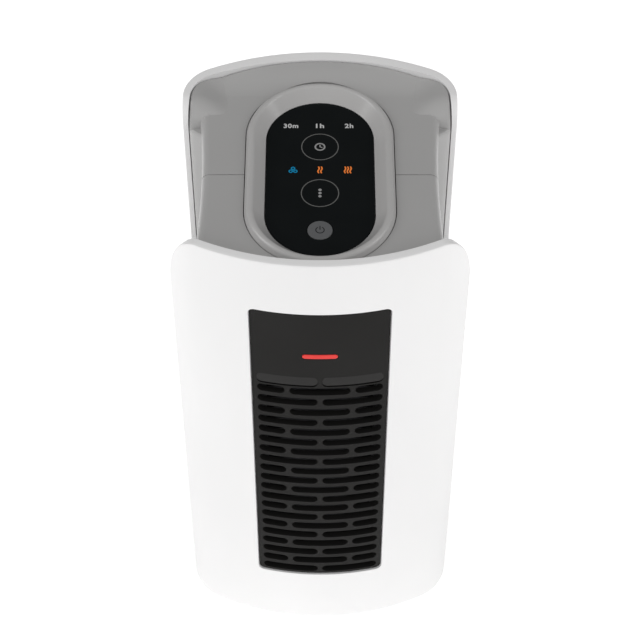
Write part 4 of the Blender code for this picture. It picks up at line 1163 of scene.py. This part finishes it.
def arm(side, word, materials):
    y0 = ARM_Y - ARM_HALF_WIDTH
    y1 = ARM_Y + ARM_HALF_WIDTH
    pivot = Vector((side * ARM_X, ARM_Y, ARM_Z))
    body = word + "_arm"
    shell = make_object("arm_shell_" + word, plate_y([arm_outline(side, 0.0, ARM_TOP)], y0, y1),
                        materials["arm_plastic"])
    bevel(shell, 0.0022, 5)
    combine(shell, plate_y([arm_outline(side, ARM_SKIN, ARM_TOP + 0.02)], y0 + ARM_SKIN, y1 - ARM_SKIN))
    bore = cylinder(PIN_RADIUS + GAP, (side * ARM_X, y0 - 0.01, ARM_Z), (side * ARM_X, y1 + 0.01, ARM_Z))
    combine(shell, bore)
    mouth = box(-0.0050, 0.0050, -0.0300, -0.0110, -0.0160, -0.0060)
    lean = Matrix.Rotation(side * (math.pi / 2 - ARM_OPEN), 4, "Y")
    bmesh.ops.transform(mouth, matrix=Matrix.Translation(pivot) @ lean, verts=mouth.verts)
    combine(shell, mouth)
    for row in range(VENT_ROWS):
        z = ARM_TOP - 0.014 - row * VENT_PITCH
        vent = upright(solid_from_outline([slot(-VENT_HALF, VENT_HALF, z, VENT_HEIGHT)], 0.06), 0.0)
        bmesh.ops.rotate(vent, matrix=Matrix.Rotation(math.pi / 2, 3, "Z"), verts=vent.verts)
        bmesh.ops.translate(vent, vec=(side * ARM_X, ARM_Y, 0.0), verts=vent.verts)
        combine(shell, vent)
    bevel(shell, 0.0003, 2, math.radians(60))
    finish_piece(shell, body, ["arm_" + word])

    x0, x1 = sorted((side * (ARM_X - ARM_HALF_THICK + 0.001), side * (ARM_X + ARM_HALF_THICK - 0.001)))
    tip = box(x0, x1, y0 + 0.0008, y1 - 0.0008, ARM_TOP + GAP, ARM_TOP + NOZZLE_HEIGHT)
    nozzle = make_object("arm_nozzle_tip_" + word, tip, materials["dark_plastic"])
    bevel(nozzle, 0.0025, 5)
    for k in (-1, 0, 1):
        y = ARM_Y + k * 0.018
        combine(nozzle, box(x0 + 0.0055, x1 - 0.0055, y - 0.0065, y + 0.0065,
                            ARM_TOP - 0.01, ARM_TOP + 0.02))
    bevel(nozzle, 0.0004, 2, math.radians(60))
    finish_piece(nozzle, body, ["arm_nozzle_" + word])


# ---------------------------------------------------------------- feet, screws and socket

def feet(materials):
    for word in ("front_left", "front_right", "rear_left", "rear_right"):
        low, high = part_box("foot_" + word)
        x = (low.x + high.x) / 2
        y = (low.y + high.y) / 2
        profile = [(0.0030, 0.0006), (0.0034, 0.0002), (0.0040, 0.0), (0.0066, 0.0), (0.0071, 0.0003),
                   (0.0076, 0.0009), (0.0081, 0.0018), (0.0085, high.z - 0.0003), (0.0083, high.z)]
        piece("foot_pad_" + word, turned(profile, x, y), materials, "rubber", "foot_" + word,
              math.radians(50))


def base_screws(materials):
    words = ("front_left", "front_right", "rear_left", "rear_right")
    for word, (x, y) in zip(words, SCREW_POINTS):
        low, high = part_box("base_screw_" + word)
        head = low.z + 0.0014
        profile = [(0.0016, low.z), (SCREW_RADIUS - 0.0005, low.z + 0.0002), (SCREW_RADIUS, low.z + 0.0007),
                   (SCREW_RADIUS, head), (0.0015, head), (0.0015, high.z - 0.0012), (0.0004, high.z)]
        screw = make_object("screw_" + word, turned(profile, x, y, 48), materials["steel"])
        for turn in (0, 1):
            long, short = (0.0016, 0.00035) if turn == 0 else (0.00035, 0.0016)
            combine(screw, box(x - long, x + long, y - short, y + short, low.z - 0.001, low.z + 0.0009))
        finish_piece(screw, "housing", ["base_screw_" + word])


def socket(materials):
    """The mains inlet: a figure-eight well with two contact pins."""
    middle = (SOCKET_BOTTOM + SOCKET_TOP) / 2
    low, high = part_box("inlet_socket")
    block = make_object("inlet_block", box(low.x, high.x, low.y, high.y, low.z, high.z),
                        materials["dark_plastic"])
    bevel(block, 0.0005, 3)
    combine(block, plate_y([slot(-0.0085, 0.0085, middle, 0.0085, 20)], 0.0720, 0.0900))
    bevel(block, 0.0003, 2, math.radians(60))
    finish_piece(block, "housing", ["inlet_socket"])
    pins = []
    for x in (-0.0043, 0.0043):
        pin = cylinder(0.0012, (x, 0.0715, middle), (x, 0.0810, middle), 32)
        tip = [edge for edge in pin.edges if all(vert.co.y > 0.0800 for vert in edge.verts)]
        bmesh.ops.bevel(pin, geom=tip, offset=0.0006, segments=4, profile=0.5, affect="EDGES")
        pins.append(pin)
    item = make_object("inlet_pins", join(pins), materials["steel"])
    finish_piece(item, "housing")


# ---------------------------------------------------------------- the rest of the model and the studio

def finish_nodes(materials):
    """Gives every part that isn't modelled again the finish of its slot."""
    for subpart in frame["record"]["subparts"]:
        node = frame["nodes"][subpart["node"]]
        node.data.materials.clear()
        node.data.materials.append(materials[subpart["material_slot"]])


def make_floor():
    """A bright plain table top."""
    bm = bmesh.new()
    bmesh.ops.create_grid(bm, x_segments=8, y_segments=8, size=30.0)
    shader = Shader("floor", (0.86, 0.86, 0.86), 0.75, specular=0.2)
    shader.bump(shader.noise(40.0), 0.0002)
    shader.set("Emission Color", (1.0, 1.0, 1.0, 1.0))
    shader.set("Emission Strength", 0.66)
    make_object("floor", bm, shader.material)


def make_world():
    """Even studio light that is a little stronger from the front."""
    world = bpy.data.worlds.new("studio")
    world.use_nodes = True
    bpy.context.scene.world = world
    tree = world.node_tree
    tree.nodes["Background"].inputs["Color"].default_value = (1.0, 1.0, 1.0, 1.0)
    coords = tree.nodes.new("ShaderNodeTexCoord")
    slope = tree.nodes.new("ShaderNodeVectorMath")
    slope.operation = "DOT_PRODUCT"
    slope.inputs[1].default_value = (0.0, -0.48, -0.18)
    level = tree.nodes.new("ShaderNodeMath")
    level.inputs[1].default_value = 0.55
    tree.links.new(coords.outputs["Generated"], slope.inputs[0])
    tree.links.new(slope.outputs["Value"], level.inputs[0])
    tree.links.new(level.outputs[0], tree.nodes["Background"].inputs["Strength"])


def make_light(name, place, aim, size, watts):
    data = bpy.data.lights.new(name, "AREA")
    data.shape = "RECTANGLE"
    data.size, data.size_y = size
    data.energy = watts
    light = bpy.data.objects.new(name, data)
    light.location = place
    light.rotation_euler = (Vector(aim) - Vector(place)).to_track_quat("-Z", "Y").to_euler()
    bpy.context.scene.collection.objects.link(light)


def make_studio():
    bpy.context.scene.view_settings.view_transform = "Standard"
    make_floor()
    make_world()
    centre = (0.0, 0.0, TOP * 0.7)
    make_light("left_softbox", (-1.1, 0.1, 1.25), centre, (0.5, 0.9), 5.0)
    make_light("right_softbox", (1.1, 0.1, 1.25), centre, (0.5, 0.9), 3.5)


make_camera()
finishes = make_materials()
for build in (finish_nodes, front_cover, rear_cover, grille, grille_pads, light_bar, rear_grille, housings,
              bezel, glass, panel_graphics, power_button, arms, feet, base_screws, socket):
    build(finishes)
make_studio()
